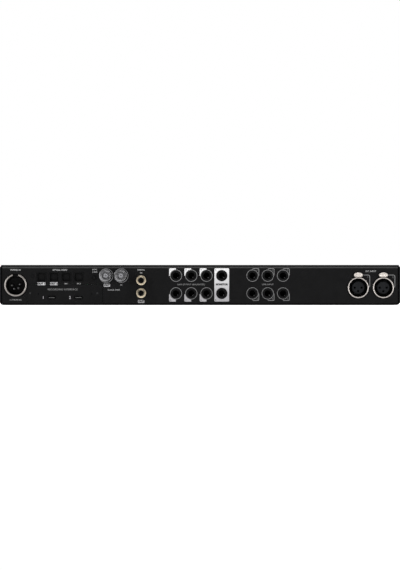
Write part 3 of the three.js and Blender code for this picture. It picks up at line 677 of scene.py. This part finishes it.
def build_power_inlet():
    """A round inlet with a keyway in its ring and four pins."""
    at = (INLET.mid.x, REAR, POWER_Z)
    keyway = Shape().box((-3.1, -12, 7.5), (3.1, 4, 14))
    ring = carve(socket_ring(INLET_RING, 2.2, 0.8, 0.5, 120), keyway)
    piece("inlet_ring", ring, SHADED_INLET_NICKEL, "power_inlet_shell", at=at)
    body = carve(Shape().box((-12.7, -26, -14.8), (12.7, BACK, 14.8)), socket_cavity(18, 10.2, INLET_HOLE))
    piece("inlet_body", body, BLACK, "power_inlet_body", at=at, bevel=0.25)
    contacts = Shape().turned([(0, -17.6), (9, -17.6), (9, -16.6), (8.6, -16.2), (0, -16.2)])
    pin = [(0, -17), (1.0, -17), (1.0, -3.8), (0.8, -3.5), *arc(0, -3.4, 0.8, -10, 90, 6)]
    for degrees in PIN_ANGLES:
        angle = math.radians(degrees)
        contacts.turned(pin, (4.4 * math.cos(angle), 0, 4.4 * math.sin(angle)), 32, paint=1)
    piece("inlet_contacts", contacts, [BLACK, GREY_METAL], "power_inlet_pins", at=at)


def build_optical_port(number, port):
    """A square mouth with a flap that swings in on pins at its top."""
    at = (port.mid.x, REAR, OPTICAL_Z)
    body = f"optical_shutter_{number}"
    housing = Shape().box((-5.9, -15.5, -5.9), (5.9, BACK, 6.1))
    nose = Shape().slab(rounded(10.2, 10.2, 0.5), -3, 0.3)
    mouth = Shape().slab(rounded(8.8, 8.4, 0.7), -13.5, 2)
    flap = Shape().slab(rounded(8.1, 7.7, 0.5), -3.8, -3.25)
    flap.slab(rounded(6.4, 5.8, 0.4, 0, -0.4), -3.25, -3)
    flap.slab(rounded(3.4, 0.7, 0.3, 0, -2.9), -3, -2.75)
    piece(f"optical_housing_{number}", carve(housing, mouth), BLACK,
          f"optical_port_{number}", at=at, bevel=0.2)
    piece(f"optical_mouth_{number}", carve(nose, mouth), BLACK, at=at, bevel=0.2)
    piece(f"optical_flap_{number}", flap, BLACK, body, body=body, at=at, bevel=0.1)


def build_clock_jack(name, node):
    """A bayonet jack: ring, washer, nut, threaded barrel with two lugs, insulator and a centre contact. Its
    flange is black and its washer sits off centre, so a black crescent shows on one side: a painted shadow of
    the barrel.
    """
    at = (Span(node).mid.x, REAR, CLOCK_Z)
    shape = Shape().box((-6.3, -13, -7.2), (6.3, BACK, 6.5), paint=1)
    shape.turned([(0, -3), (5.2, -3), (5.2, 0.3), (0, 0.3)], paint=1)
    # The flange takes the black material: painted shadow, seen where the washer above leaves it bare.
    shape.turned([(5.2, 0.05), (7.8, 0.05), (7.8, 0.45), (7.6, 0.6), (5.2, 0.6)], paint=1)
    shape.turned([(7.1, 0.3), (7.75, 0.3), (7.75, 0.7), (7.1, 0.7)])
    # The washer sits 0.95 mm towards +X, so the black flange shows as a crescent on the -X side: painted
    # shadow.
    shape.turned([(4, 0.6), (6.7, 0.6), (6.7, 1), (6.5, 1.1), (4, 1.1)], (0.95, 0, 0.3))
    nut = [(6 * math.cos(math.radians(a)), 6 * math.sin(math.radians(a))) for a in range(10, 370, 60)]
    shape.loft([[(x * s, y, z * s) for x, z in nut] for s, y in ((1, 1.1), (1, 2.0), (0.93, 2.4))])
    thread = [(5.0, 2.4 + 0.3 * i) if i % 2 else (4.75, 2.4 + 0.3 * i) for i in range(6)]
    barrel = [(4.75, 4.2), (4.75, 10.4), (4.6, 10.6), (4.75, 10.8), (4.75, 12.6), (4.5, 13), (4.3, 13),
              (4.1, 12.6), (4.1, 2.3), (4.6, 2.3)]
    shape.turned(thread + barrel)
    shape.turned([(2.5, 3.2), (4.12, 3.2), (4.12, 8.6), (3.9, 8.8), (3.6, 8.8), (3.5, 8.2), (2.5, 8.2)])
    shape.turned([(0, 3.2), (2.4, 3.2), (2.4, 11.2), (2.2, 11.5), (0.8, 11.5), (0.8, 8), (0, 8)], paint=2)
    shape.turned([(0, 5), (0.78, 5), (0.78, 11.2), (0.45, 11.2), (0.45, 9), (0, 9)], sides=24)
    for side in (-1, 1):
        lug = [(side * x, z) for x, z in ((4.5, -0.9), (5.6, -0.8), (5.6, 0.8), (4.5, 0.9))]
        shape.slab(lug, 9.7, 11.3)
    piece(name, shape, [GREY_METAL, BLACK, PUTTY], node, at=at, bevel=0.1)


def build_coax_jack(name, node):
    """A gold phono jack: flange, barrel with a funnel inside its rim, and a black insulator."""
    shape = Shape().box((-5.8, -13, -6), (5.8, BACK, 6), paint=1)
    shape.turned([(0, -0.5), (4.3, -0.5), (4.3, 0.05), (5.4, 0.05), (5.4, 1.5), (5.15, 1.85), (4.6, 1.9),
                  (4.4, 1.6), (0, 1.6)])
    shape.turned([(0, 1), (4.1, 1), (4.15, 1.4), (4.15, 8.8), (3.95, 9.3), (3.7, 9.5), (3.5, 9.5), (2.8, 8.3),
                  (2.75, 3), (0, 3)])
    shape.turned([(0, 3), (2.72, 3), (2.72, 8.0), (2.5, 8.1), (1.5, 7.2), (1.5, 4), (0, 4)], paint=1)
    piece(name, shape, [GOLD, BLACK], node, at=Span(node).on(REAR))


def build_termination():
    """The round cap of the push button that loads the clock input."""
    cap = Shape().turned([(0, -8), (1.8, -8), (1.8, 0.1), (1.6, 0.4), (1.2, 0.5), (0, 0.42)], sides=32)
    node = "termination_button"
    piece("termination_cap", cap, BLACK, node, body=node, at=TERMINATION.on(REAR))


def build_option_card():
    """The small circuit board behind the card plate, with its two data ports."""
    span = Span("io_card")
    board = Shape().box(span.low, (span.high.x, REAR + BACK - 0.3, 5.6))
    board.box((138, 107, 5.5), (156, 125, 7.6))
    for i in range(10):
        board.box((121 + 5 * i, 128, 5.5), (122.6 + 5 * i, 128.9, 6.3))
    mask = circuit("card_mask", "Z", BOARD_TOP)
    piece("option_card_board", board, mask, "io_card", bevel=0.1)
    shells, tongues = Shape(), Shape()
    for x in DATA_PORT_X:
        outer, inner = rounded(9, 3.3, 1.5, x, DATA_PORT_Z), rounded(8.4, 2.7, 1.2, x, DATA_PORT_Z)
        steps = ((outer, -8.5), (outer, 0.2), (inner, 0.25), (inner, -7))
        shells.layers([(ring, REAR + y) for ring, y in steps])
        shells.box((x - 3, REAR - 8.4, 5.5), (x + 3, REAR - 3, DATA_PORT_Z - 1.5))
        tongues.box((x - 3.3, REAR - 7.5, DATA_PORT_Z - 0.35), (x + 3.3, REAR - 0.6, DATA_PORT_Z + 0.35))
    piece("data_port_shells", shells, BLACK_METAL)
    piece("data_port_tongues", tongues, GREY_PLASTIC, bevel=0.1)


# ---- Printed legends ----

def lettering(text, size, x, z, flip=False, weight=0.0):
    """Lettering as a flat mesh in X and Z, centred on a point. Flip makes it read from the connector side."""
    curve = bpy.data.curves.new("lettering", "FONT")
    curve.body = text
    curve.size = size * MM
    curve.space_character = 1.1
    curve.offset = weight * size * MM
    curve.align_x = "CENTER"
    curve.align_y = "CENTER"
    curve.extrude = PRINT * MM / 2
    curve.resolution_u = 3
    source = bpy.data.objects.new("lettering", curve)
    bpy.context.scene.collection.objects.link(source)
    bpy.context.view_layer.update()
    data = bpy.data.meshes.new_from_object(source.evaluated_get(bpy.context.evaluated_depsgraph_get()))
    side = -1 if flip else 1
    shape = Shape()
    points = [(x + side * v.co.x / MM, -side * v.co.z / MM, z + v.co.y / MM) for v in data.vertices]
    shape.add(points, [list(p.vertices) for p in data.polygons])
    bpy.data.objects.remove(source)
    bpy.data.meshes.remove(data)
    return shape


def print_ring(shape, x, z, outer):
    """A printed ring round a jack's hole on the rear panel."""
    shape.turned([(JACK_HOLE, 0), (outer, 0), (outer, PRINT), (JACK_HOLE, PRINT)], (x, REAR, z))


def stroke(shape, path, width):
    """A printed line of even width along a path in X and Z, on the rear panel."""
    left, right = [], []
    for i, (x, z) in enumerate(path):
        before, after = path[max(i - 1, 0)], path[min(i + 1, len(path) - 1)]
        along = Vector((after[0] - before[0], after[1] - before[1])).normalized()
        left.append((x - along.y * width / 2, z + along.x * width / 2))
        right.append((x + along.y * width / 2, z - along.x * width / 2))
    return shape.slab(left + right[::-1], REAR, REAR + PRINT)


def write(shape, text, size, x, z, lift=0.0, weight=0.02):
    """Lettering on the rear panel, in plain words and digits only."""
    flat = lettering(text, size, x, z, flip=True, weight=weight)
    shape.join(flat, REAR + PRINT / 2 + lift)


def jack_digit(column, level):
    """The number beside a jack: odd in the upper row (level 1), even in the lower row (level -1)."""
    return str(2 * column + (1 if level == 1 else 2))


def print_output_flags(faint, dark):
    """A ring round each output jack, with a white flag at its outer corner that holds a dark digit."""
    flags, cut = Shape(), Shape()
    for column, span in enumerate(OUTPUTS):
        for z, level in zip(JACK_ROWS, (-1, 1)):
            x = span.mid.x
            low, high = (-0.2, 8) if level == 1 else (0.9, 8.9)
            corner = arc(6.2, high - 1.2, 1.2, 0, 90, 6)
            flag = [(0.1, low), (7.4, low), *corner, (0.1, high)]
            flags.slab([(x + px, z + level * pz) for px, pz in flag], REAR, REAR + PRINT)
            cut.slab(circle(x, z, 6.3), REAR - 1, REAR + 1)
            print_ring(faint, x, z, 6.55)
            write(dark, jack_digit(column, level), 2.3, x + 5.8, z + level * (high - 1.7), lift=PRINT)
    piece("output_flags", carve(flags, cut), WHITE_INK)


def print_monitor_label(dark):
    """One white label behind both monitor jacks."""
    low, high = 3.8, 39.8
    outline = rounded(16, high - low, 1.1, MONITOR.mid.x, (low + high) / 2)
    label = Shape().slab(outline, REAR, REAR + PRINT)
    holes = prisms([circle(MONITOR.mid.x, z, JACK_HOLE + 0.25) for z in JACK_ROWS], REAR - 1, REAR + 1)
    piece("monitor_label", carve(label, holes), WHITE_INK)
    write(dark, "MONITOR", 2.6, MONITOR.mid.x, sum(JACK_ROWS) / 2, lift=PRINT, weight=0.08)
    write(dark, "L", 2.1, MONITOR.mid.x + 6.5, JACK_ROWS[1] + 6.5, lift=PRINT)
    write(dark, "R", 2.1, MONITOR.mid.x + 6.5, JACK_ROWS[0] - 7.4, lift=PRINT)


def print_line_flags(faint):
    """Outlined flags on the other side of the line input jacks."""
    for column, span in enumerate(LINES):
        for z, level in zip(JACK_ROWS, (-1, 1)):
            print_ring(faint, span.mid.x, z, 6.5)
            corner = arc(5.7, 6.5, 1.2, 0, 90, 6)
            path = [(6.9, 0.2), *corner, (0.3, 7.7), (0.3, 6.5)]
            stroke(faint, [(span.mid.x - px, z + level * pz) for px, pz in path], 0.7)
            write(faint, jack_digit(column, level), 2.1, span.mid.x - 5.2, z + level * 6)


def print_mic_brackets(faint):
    """Brackets that run from the latch, round a corner and down to the ring, each with a digit."""
    for number, mic in enumerate(MICS, 1):
        x, z = mic.mid.x, mic.mid.z
        path = [(5.6, 13.7), *arc(10.6, 11.8, 1.9, 90, 0, 6), (12.5, 1.5), (11.5, 0.2)]
        stroke(faint, [(x - px, z + pz) for px, pz in path], 0.7)
        write(faint, str(number), 2.1, x - 10.3, z + 11.4)


def print_headings(grey, faint):
    """The words over, under and between the connectors."""
    middle = sum(JACK_ROWS) / 2
    pale = ((2.25, "LINE OUTPUT (BALANCED)", OUTPUTS[1].mid.x, middle),
            (2.25, "LINE INPUT", LINES[1].mid.x, middle),
            (2.7, "RECORDING INTERFACE", 149, 16.8))
    plain = ((2.2, "MIC INPUT", (MICS[0].mid.x + MICS[1].mid.x) / 2, 36.55),
             (2.0, "12 VOLTS DC", INLET.mid.x, 5.5),
             (1.9, "SYNC", 114, 38.4),
             (1.9, "LOAD", 114, 35.7),
             (2.0, "CLOCK SYNC", 93.4, 16.3),
             (2.1, "IN", CLOCKS[1].mid.x, 21.6))
    bold = ((2.2, "POWER IN", INLET.mid.x, 38),
            (2.0, "OPTICAL PORTS", 152, 37.9),
            (2.0, "DIGITAL", COAXES[0].mid.x, 38),
            (2.1, "IN", COAXES[0].mid.x, 34.8))
    optical = [(2.0, f"IN {i}", port.mid.x, 23.1) for i, port in enumerate(OPTICALS[2:], 1)]
    sets = ((faint, 0.02, pale), (grey, 0.02, plain), (grey, 0.035, bold), (grey, 0.03, optical))
    for ink, weight, words in sets:
        for size, word, x, z in words:
            write(ink, word, size, x, z, weight=weight)


def print_boxes(white, dark):
    """White boxes with dark words, and the two port numbers."""
    boxes = ((OPTICALS[0].mid.x, 23.1, 8.4, "OUT 1"), (OPTICALS[1].mid.x, 23.1, 8.4, "OUT 2"),
             (CLOCKS[0].mid.x - 0.8, 21.4, 6.8, "OUT"), (COAXES[1].mid.x, 3.9, 6.8, "OUT"))
    for x, z, width, word in boxes:
        white.slab(rounded(width, 3.1, 0.5, x, z), REAR, REAR + PRINT)
        write(dark, word, 2.6, x, z, lift=PRINT, weight=0.09)
    for x, digit in zip((170, 141), "12"):
        write(white, digit, 4.2, x, DATA_PORT_Z)


def build_rear_legends():
    """All printing on the connector side, gathered into one piece for each ink."""
    white, grey, faint, dark = Shape(), Shape(), Shape(), Shape()
    print_output_flags(faint, dark)
    print_monitor_label(dark)
    print_line_flags(faint)
    print_mic_brackets(faint)
    print_headings(grey, faint)
    print_boxes(white, dark)
    inks = {"white": (white, WHITE_INK), "grey": (grey, GREY_INK), "faint": (faint, FAINT_INK),
            "dark": (dark, DARK_INK)}
    for name, (shape, ink) in inks.items():
        piece(f"{name}_legends", shape, ink)


# ---- Boards inside ----

def finish_boards():
    """The boards, heatsink and cable keep their solids and get their own materials."""
    flat = ("analog", "digital", "power")
    looks = {f"{name}_board": circuit(f"{name}_mask", "Z", BOARD_TOP) for name in flat}
    looks["connector_board"] = circuit("connector_mask", "Z", (24.22, 24.3))
    looks["front_board"] = circuit("front_mask", "Y", (-142.9, -143.05))
    looks["dsp_heatsink"] = BARE
    looks["ribbon_cable"] = ribbon_plastic()
    looks["chassis_tray"] = POWDER
    looks["input_plunger"] = looks["monitor_plunger"] = BLACK
    for name, look in looks.items():
        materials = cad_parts[name].data.materials
        materials.clear()
        materials.append(look)


# ---- Front ----

def front_openings():
    """The outlines of the holes in the front panel, each a little larger than its control."""
    x, z = EARS
    corners = ((-x, -z), (-x, z), (x, -z), (x, z))
    outlines = [rounded(10.3, 6.8, 3.39, dx, MID_Z + dz, 10) for dx, dz in corners]
    for name in ("instrument_jack_1", "instrument_jack_2", "phones_jack_1", "phones_jack_2"):
        jack = Span(name)
        outlines.append(circle(jack.mid.x, jack.mid.z, JACK_HOLE))
    spindles = {"input_knob": 3.7, "monitor_knob": 3.7, "phones_knob_1": 3.2, "phones_knob_2": 3.2}
    for name, radius in spindles.items():
        knob = Span(name)
        outlines.append(circle(knob.mid.x, knob.mid.z, radius, 32))
    for i in range(1, 7):
        cap = Span(f"button_{i}")
        outlines.append(rounded(11.6, 7.6, 1.1, cap.mid.x, cap.mid.z))
    meter = Span("meter_window")
    outlines.append(rounded(122, 25.6, 1.5, meter.mid.x, meter.mid.z))
    outlines.append(rounded(13.2, 21.6, 0.4, Span("power_rocker").mid.x, MID_Z))
    return outlines


def build_front_plate():
    """A thick plate with rack slots in its ears and a narrow chamfer round its face."""
    span = Span("front_panel")
    chamfer = 0.5
    steps = ((chamfer, 1.0, FACE), (0, 1.5, FACE + chamfer), (0, 1.5, span.high.y))
    plate = Shape().layers([(rounded(2 * (span.high.x - inset), span.size.z - 2 * inset, radius, 0, MID_Z), y)
                            for inset, radius, y in steps])
    data = carve(plate, prisms(front_openings(), FACE - 2, span.high.y + 2))
    piece("front_plate", data, ANODISED, "front_panel", bevel=0.15)


def grooved(radius, depth, grooves, layers):
    """A barrel with fine grooves along its side. Each layer is a scale and a place along Y."""
    rings = []
    for scale, y in layers:
        ring = []
        for i in range(4 * grooves):
            angle = 2 * math.pi * i / (4 * grooves)
            reach = (radius - (depth if i % 4 in (0, 1) else 0)) * scale
            ring.append((reach * math.cos(angle), y, reach * math.sin(angle)))
        rings.append(ring)
    return Shape().loft(rings)


def build_dial(name, suffix, node, z, shape, pointer):
    """A knob and its white pointer line, both riding on the knob's own body."""
    at = (Span(node).mid.x, FACE, z)
    piece(name + suffix, shape, KNOB_METAL, node, body=node, at=at)
    piece(f"{name}_pointer{suffix}", pointer, LIT, body=node, at=at)


def build_large_knob(name):
    """A turned knob with a grooved side and a chamfered and dished face."""
    shape = grooved(15, 0.28, 60, ((0.96, -1.3), (0.985, -1.8), (0.985, -4.0), (1.0, -4.3), (1.0, -14.4)))
    shape.turned([(0, -14.2), (14.6, -14.2), (14.75, -14.6), (14.2, -15.6), (13.6, -16), (13.0, -16),
                  (12.4, -15.75), (0, -15.45)], sides=FINE)
    shape.turned([(0, 7), (3, 7), (3, -2), (0, -2)], sides=48)
    pointer = Shape().slab(rounded(1.1, 6.2, 0.5, 0, 9.0), -15.85, -15.5)
    node = f"{name}_knob"
    build_dial(f"{name}_dial", "", node, Span(node).mid.z, shape, pointer)


def build_phones_knob(number):
    """A smaller knob of the same make."""
    shape = grooved(7.4, 0.22, 36, ((0.96, -1.3), (1.0, -1.7), (1.0, -10.8)))
    shape.turned([(0, -10.7), (7.15, -10.7), (7.2, -11), (6.7, -11.7), (6.2, -12), (5.8, -12), (5.5, -11.85),
                  (0, -11.7)], sides=72)
    shape.turned([(0, 7), (2.5, 7), (2.5, -2), (0, -2)], sides=32)
    pointer = Shape().slab(rounded(0.8, 3.0, 0.38, 0, 4.5), -11.95, -11.6)
    build_dial("phones_dial", f"_{number}", f"phones_knob_{number}", PHONES_Z, shape, pointer)


def build_button(number):
    """A translucent cap with a dished face, on a wider base that keeps it in the panel."""
    node = f"button_{number}"
    layers = ((11, 7, 0.8, 5.6), (11, 7, 0.8, -1.2), (10.5, 6.5, 0.7, -1.6), (9.2, 5.2, 0.6, -1.6),
              (8.8, 4.8, 0.6, -1.4))
    cap = Shape().layers([(rounded(width, height, radius), y) for width, height, radius, y in layers])
    cap.box((-6.5, 5.4, -4.5), (6.5, 6.4, 4.5))
    cap.box((-2, 6.2, -2), (2, 8.4, 2))
    piece(f"button_cap_{number}", cap, LIT, node, body=node, at=Span(node).on(FACE), bevel=0.1)


def build_front_jack(name):
    """A jack that faces -Y: its housing, its bush with a contact, and the bright collar on the panel."""
    at = Span(name).on(FACE)
    housing = Shape().box((-7.5, 5.4, -7.5), (7.5, 32, 7.5))
    bore = Shape().slab(circle(0, 0, JACK_BORE), 4, 31)
    piece(f"{name}_housing", carve(housing, bore), BLACK, name, at=at, bevel=0.3)
    bush = Shape()
    jack_nose(bush, 0, 1.4, direction=-1, base=-6)
    contact_spring(bush, 0, 1.4, direction=-1)
    piece(f"{name}_bush", bush, [DARK, BRIGHT_STEEL], at=at)
    collar = Shape().turned([(5.65, -0.02), (8.2, -0.02), (8.2, -0.5), (7.6, -1.1), (6.2, -1.25),
                             (5.65, -1.1)])
    piece(f"{name}_collar", collar, NICKEL, at=at)


def meter_x(channel):
    """Where a channel's column of lamps stands, from left to right as the front is seen."""
    return Span("meter_window").mid.x + (channel - len(METER_CHANNELS) / 2) * METER_PITCH


def build_meter():
    """A smoked window over ten columns of twelve lamps, lit to different heights."""
    span = Span("meter_window")
    outline = rounded(span.size.x, span.size.z, 1.2, span.mid.x, span.mid.z)
    inset = rounded(span.size.x - 0.6, span.size.z - 0.6, 0.9, span.mid.x, span.mid.z)
    window = Shape().layers([(inset, FACE + 0.4), (outline, FACE + 0.7), (outline, FACE + 2.4)])
    piece("meter_glass", window, smoked_glass(), "meter_window")
    lamps = {"green": Shape(), "amber": Shape(), "red": Shape(), "unlit": Shape()}
    for channel, level in zip(METER_CHANNELS, (7, 8, 6, 9, 5, 7, 10, 9, 4, 6)):
        for step in range(12):
            z = span.low.z + 3.6 + step * 1.55
            colour = "green" if step < 8 else "amber" if step < 11 else "red"
            target = lamps[colour if step < level else "unlit"]
            for x in (meter_x(channel) - 1.5, meter_x(channel) + 1.5):
                target.box((x - 1.2, FACE + 2.6, z), (x + 1.2, FACE + 2.95, z + 1.0))
    looks = {"green": GREEN_LAMP, "amber": AMBER_LAMP, "red": RED_LAMP, "unlit": UNLIT_LAMP}
    for name, shape in lamps.items():
        if shape.points:
            piece(f"meter_lamps_{name}", shape, looks[name])


def build_rocker():
    """A rocker with a hollow face, in a thin bezel."""
    span = Span("power_rocker")
    pivot_y = FACE + 2.5
    tilt = math.radians(9)  # half of its travel
    end = 9.6
    outline = [(-5.1, end), *[(-3.3 - 1.8 * (abs(v) / end) ** 1.3, v) for v in (6.4, 3.2, 0, -3.2, -6.4)],
               (-5.1, -end), (0, -end), (3.5, -4), (4, 0), (3.5, 4), (0, end)]
    across, along = math.cos(tilt), math.sin(tilt)
    shape = Shape().channel([(u * across + v * along, v * across - u * along) for u, v in outline], -6.2, 6.2)
    at = (span.mid.x, pivot_y, MID_Z)
    node = "power_rocker"
    piece("rocker_cap", shape, GLOSS, node, body=node, at=at, bevel=0.35)
    bezel = Shape().slab(rounded(14.6, 23, 1.2, span.mid.x, MID_Z), FACE - 0.8, FACE + 0.2)
    opening = Shape().slab(rounded(12.9, 20.9, 0.4, span.mid.x, MID_Z), FACE - 3, FACE + 3)
    piece("rocker_bezel", carve(bezel, opening), BLACK, bevel=0.2)


def write_front(shape, text, size, x, z):
    """Lettering on the front panel."""
    shape.join(lettering(text, size, x, z), FACE - PRINT / 2)


def print_scale(shape, x, z, radius, dot, sides):
    """Eleven dots round a knob."""
    for angle in DIAL_DOTS:
        at = (x + radius * math.cos(angle), FACE, z + radius * math.sin(angle))
        shape.turned([(0, -PRINT), (dot, -PRINT), (dot, 0), (0, 0)], at, sides)


def build_front_legends():
    """The words, digits and dots on the front panel."""
    white, grey = Shape(), Shape()
    for name in ("input", "monitor"):
        x = Span(f"{name}_knob").mid.x
        print_scale(white, x, MID_Z, 17, 0.38, 16)
        write_front(grey, "0", 1.9, x - 10.6, MID_Z - 16.9)
        write_front(grey, "10", 1.9, x + 10.9, MID_Z - 16.9)
        write_front(white, name.upper(), 2.3, x, 2.6)
    for i in (1, 2):
        x = Span(f"phones_knob_{i}").mid.x
        print_scale(white, x, PHONES_Z, 8.9, 0.26, 12)
        write_front(white, f"PHONES {i}", 1.8, x, 22.1)
    for i in (1, 2):
        write_front(white, f"INSTR {i}", 2.1, Span(f"instrument_jack_{i}").mid.x, 33.5)
    for i, word in enumerate(("GAIN", "48V", "PAD", "LINK", "DIM", "MUTE"), 1):
        cap = Span(f"button_{i}")
        write_front(white, word, 1.9, cap.mid.x, cap.mid.z + 6.2)
    for channel in METER_CHANNELS:
        write_front(grey, str(channel + 1), 1.7, meter_x(channel), 6.6)
    write_front(white, "LEVEL", 2.1, Span("meter_window").mid.x, 38.2)
    write_front(white, "POWER", 2.1, Span("power_rocker").mid.x, 36.5)
    piece("front_white_legends", white, LIT)
    piece("front_grey_legends", grey, GREY_INK)


def build_power_lamp():
    """A round lamp beside the rocker."""
    profile = [(0, 0.3), (1.4, 0.3), (1.4, -0.3), (1.0, -0.7), (0.5, -0.85), (0, -0.9)]
    piece("power_lamp", Shape().turned(profile, (187.5, FACE, MID_Z), 32), GREEN_LAMP)


# ---- Stage ----

def build_floor():
    half, drop = 12, 0.0005  # metres; the drop keeps it clear of the underside
    paint = Paint("floor_white", (0.9, 0.9, 0.9), 0.7, specular=0.1)
    paint.mottle(300, 0.01)
    paint.set("Emission Color", (1, 1, 1, 1)).set("Emission Strength", 0.65)
    data = bpy.data.meshes.new("floor")
    corners = ((-half, -half), (half, -half), (half, half), (-half, half))
    data.from_pydata([(x, y, -drop) for x, y in corners], [], [(0, 1, 2, 3)])
    data.materials.append(paint.material)
    floor = bpy.data.objects.new("floor", data)
    bpy.context.scene.collection.objects.link(floor)


def build_world():
    """A dim white sky for the light, seen by the camera as plain white."""
    world = bpy.data.worlds.new("studio")
    bpy.context.scene.world = world
    world.use_nodes = True
    nodes, links = world.node_tree.nodes, world.node_tree.links
    mix = nodes.new("ShaderNodeMixShader")
    path = nodes.new("ShaderNodeLightPath")
    links.new(path.outputs["Is Camera Ray"], mix.inputs["Fac"])
    skies = (nodes["Background"], 0.25), (nodes.new("ShaderNodeBackground"), 1.0)
    for i, (sky, strength) in enumerate(skies, 1):
        sky.inputs["Color"].default_value = (1, 1, 1, 1)
        sky.inputs["Strength"].default_value = strength
        links.new(sky.outputs[0], mix.inputs[i])
    links.new(mix.outputs[0], nodes["World Output"].inputs["Surface"])


def add_light(name, at, towards, size, power):
    data = bpy.data.lights.new(name, "AREA")
    data.shape = "RECTANGLE"
    data.size, data.size_y = size[0] * MM, size[1] * MM
    data.energy = power
    light = bpy.data.objects.new(name, data)
    light.location = Vector(at) * MM
    light.rotation_euler = (Vector(towards) - Vector(at)).to_track_quat("-Z", "Y").to_euler()
    bpy.context.scene.collection.objects.link(light)


def build_lights():
    add_light("top_softbox", (0, 250, 1500), (0, 0, 0), (2200, 1200), 22)
    add_light("left_softbox", (1700, 1500, 500), (0, REAR, 10), (600, 900), 22)
    add_light("right_softbox", (-1700, 1500, 500), (0, REAR, 10), (600, 900), 26)
    add_light("front_softbox", (-900, -1900, 900), (0, FACE, 20), (1200, 900), 40)


def build_camera():
    """Square on to the connector side, far enough back for the ears to reach the edges of the frame."""
    distance, frame_height, sensor, eye_z = 2900, 618.1, 36, 21.7
    data = bpy.data.cameras.new("camera")
    data.sensor_width = sensor
    data.lens = sensor * distance / frame_height
    data.clip_end = 50
    camera = bpy.data.objects.new("camera", data)
    camera.location = Vector((0, REAR + distance, eye_z)) * MM
    camera.rotation_euler = (math.radians(90), 0, math.radians(180))
    bpy.context.scene.collection.objects.link(camera)
    bpy.context.scene.camera = camera
    bpy.context.scene.view_settings.view_transform = "Standard"


def build_all():
    build_camera()
    build_floor()
    build_world()
    build_lights()
    build_rear_panel()
    build_card_plate()
    build_cover()
    build_rear_screws()
    for column in (1, 2, 3):
        build_jack_pair(f"output_pair_{column}", f"output_jacks_{column}")
        build_jack_pair(f"line_input_pair_{column}", f"line_input_jacks_{column}")
    build_jack_pair("monitor_pair", "monitor_jacks")
    for number, mic in enumerate(MICS, 1):
        build_mic_input(number, mic)
        build_mic_latch(number, mic)
    build_power_inlet()
    for number, port in enumerate(OPTICALS, 1):
        build_optical_port(number, port)
    for way in ("output", "input"):
        build_clock_jack(f"clock_{way}_connector", f"clock_{way}_jack")
        build_coax_jack(f"coax_{way}_connector", f"coax_{way}_jack")
    build_termination()
    build_option_card()
    build_rear_legends()
    finish_boards()
    build_front_plate()
    for name in ("input", "monitor"):
        build_large_knob(name)
    for number in (1, 2):
        build_phones_knob(number)
        build_front_jack(f"instrument_jack_{number}")
        build_front_jack(f"phones_jack_{number}")
    for number in range(1, 7):
        build_button(number)
    build_meter()
    build_rocker()
    build_front_legends()
    build_power_lamp()


build_all()
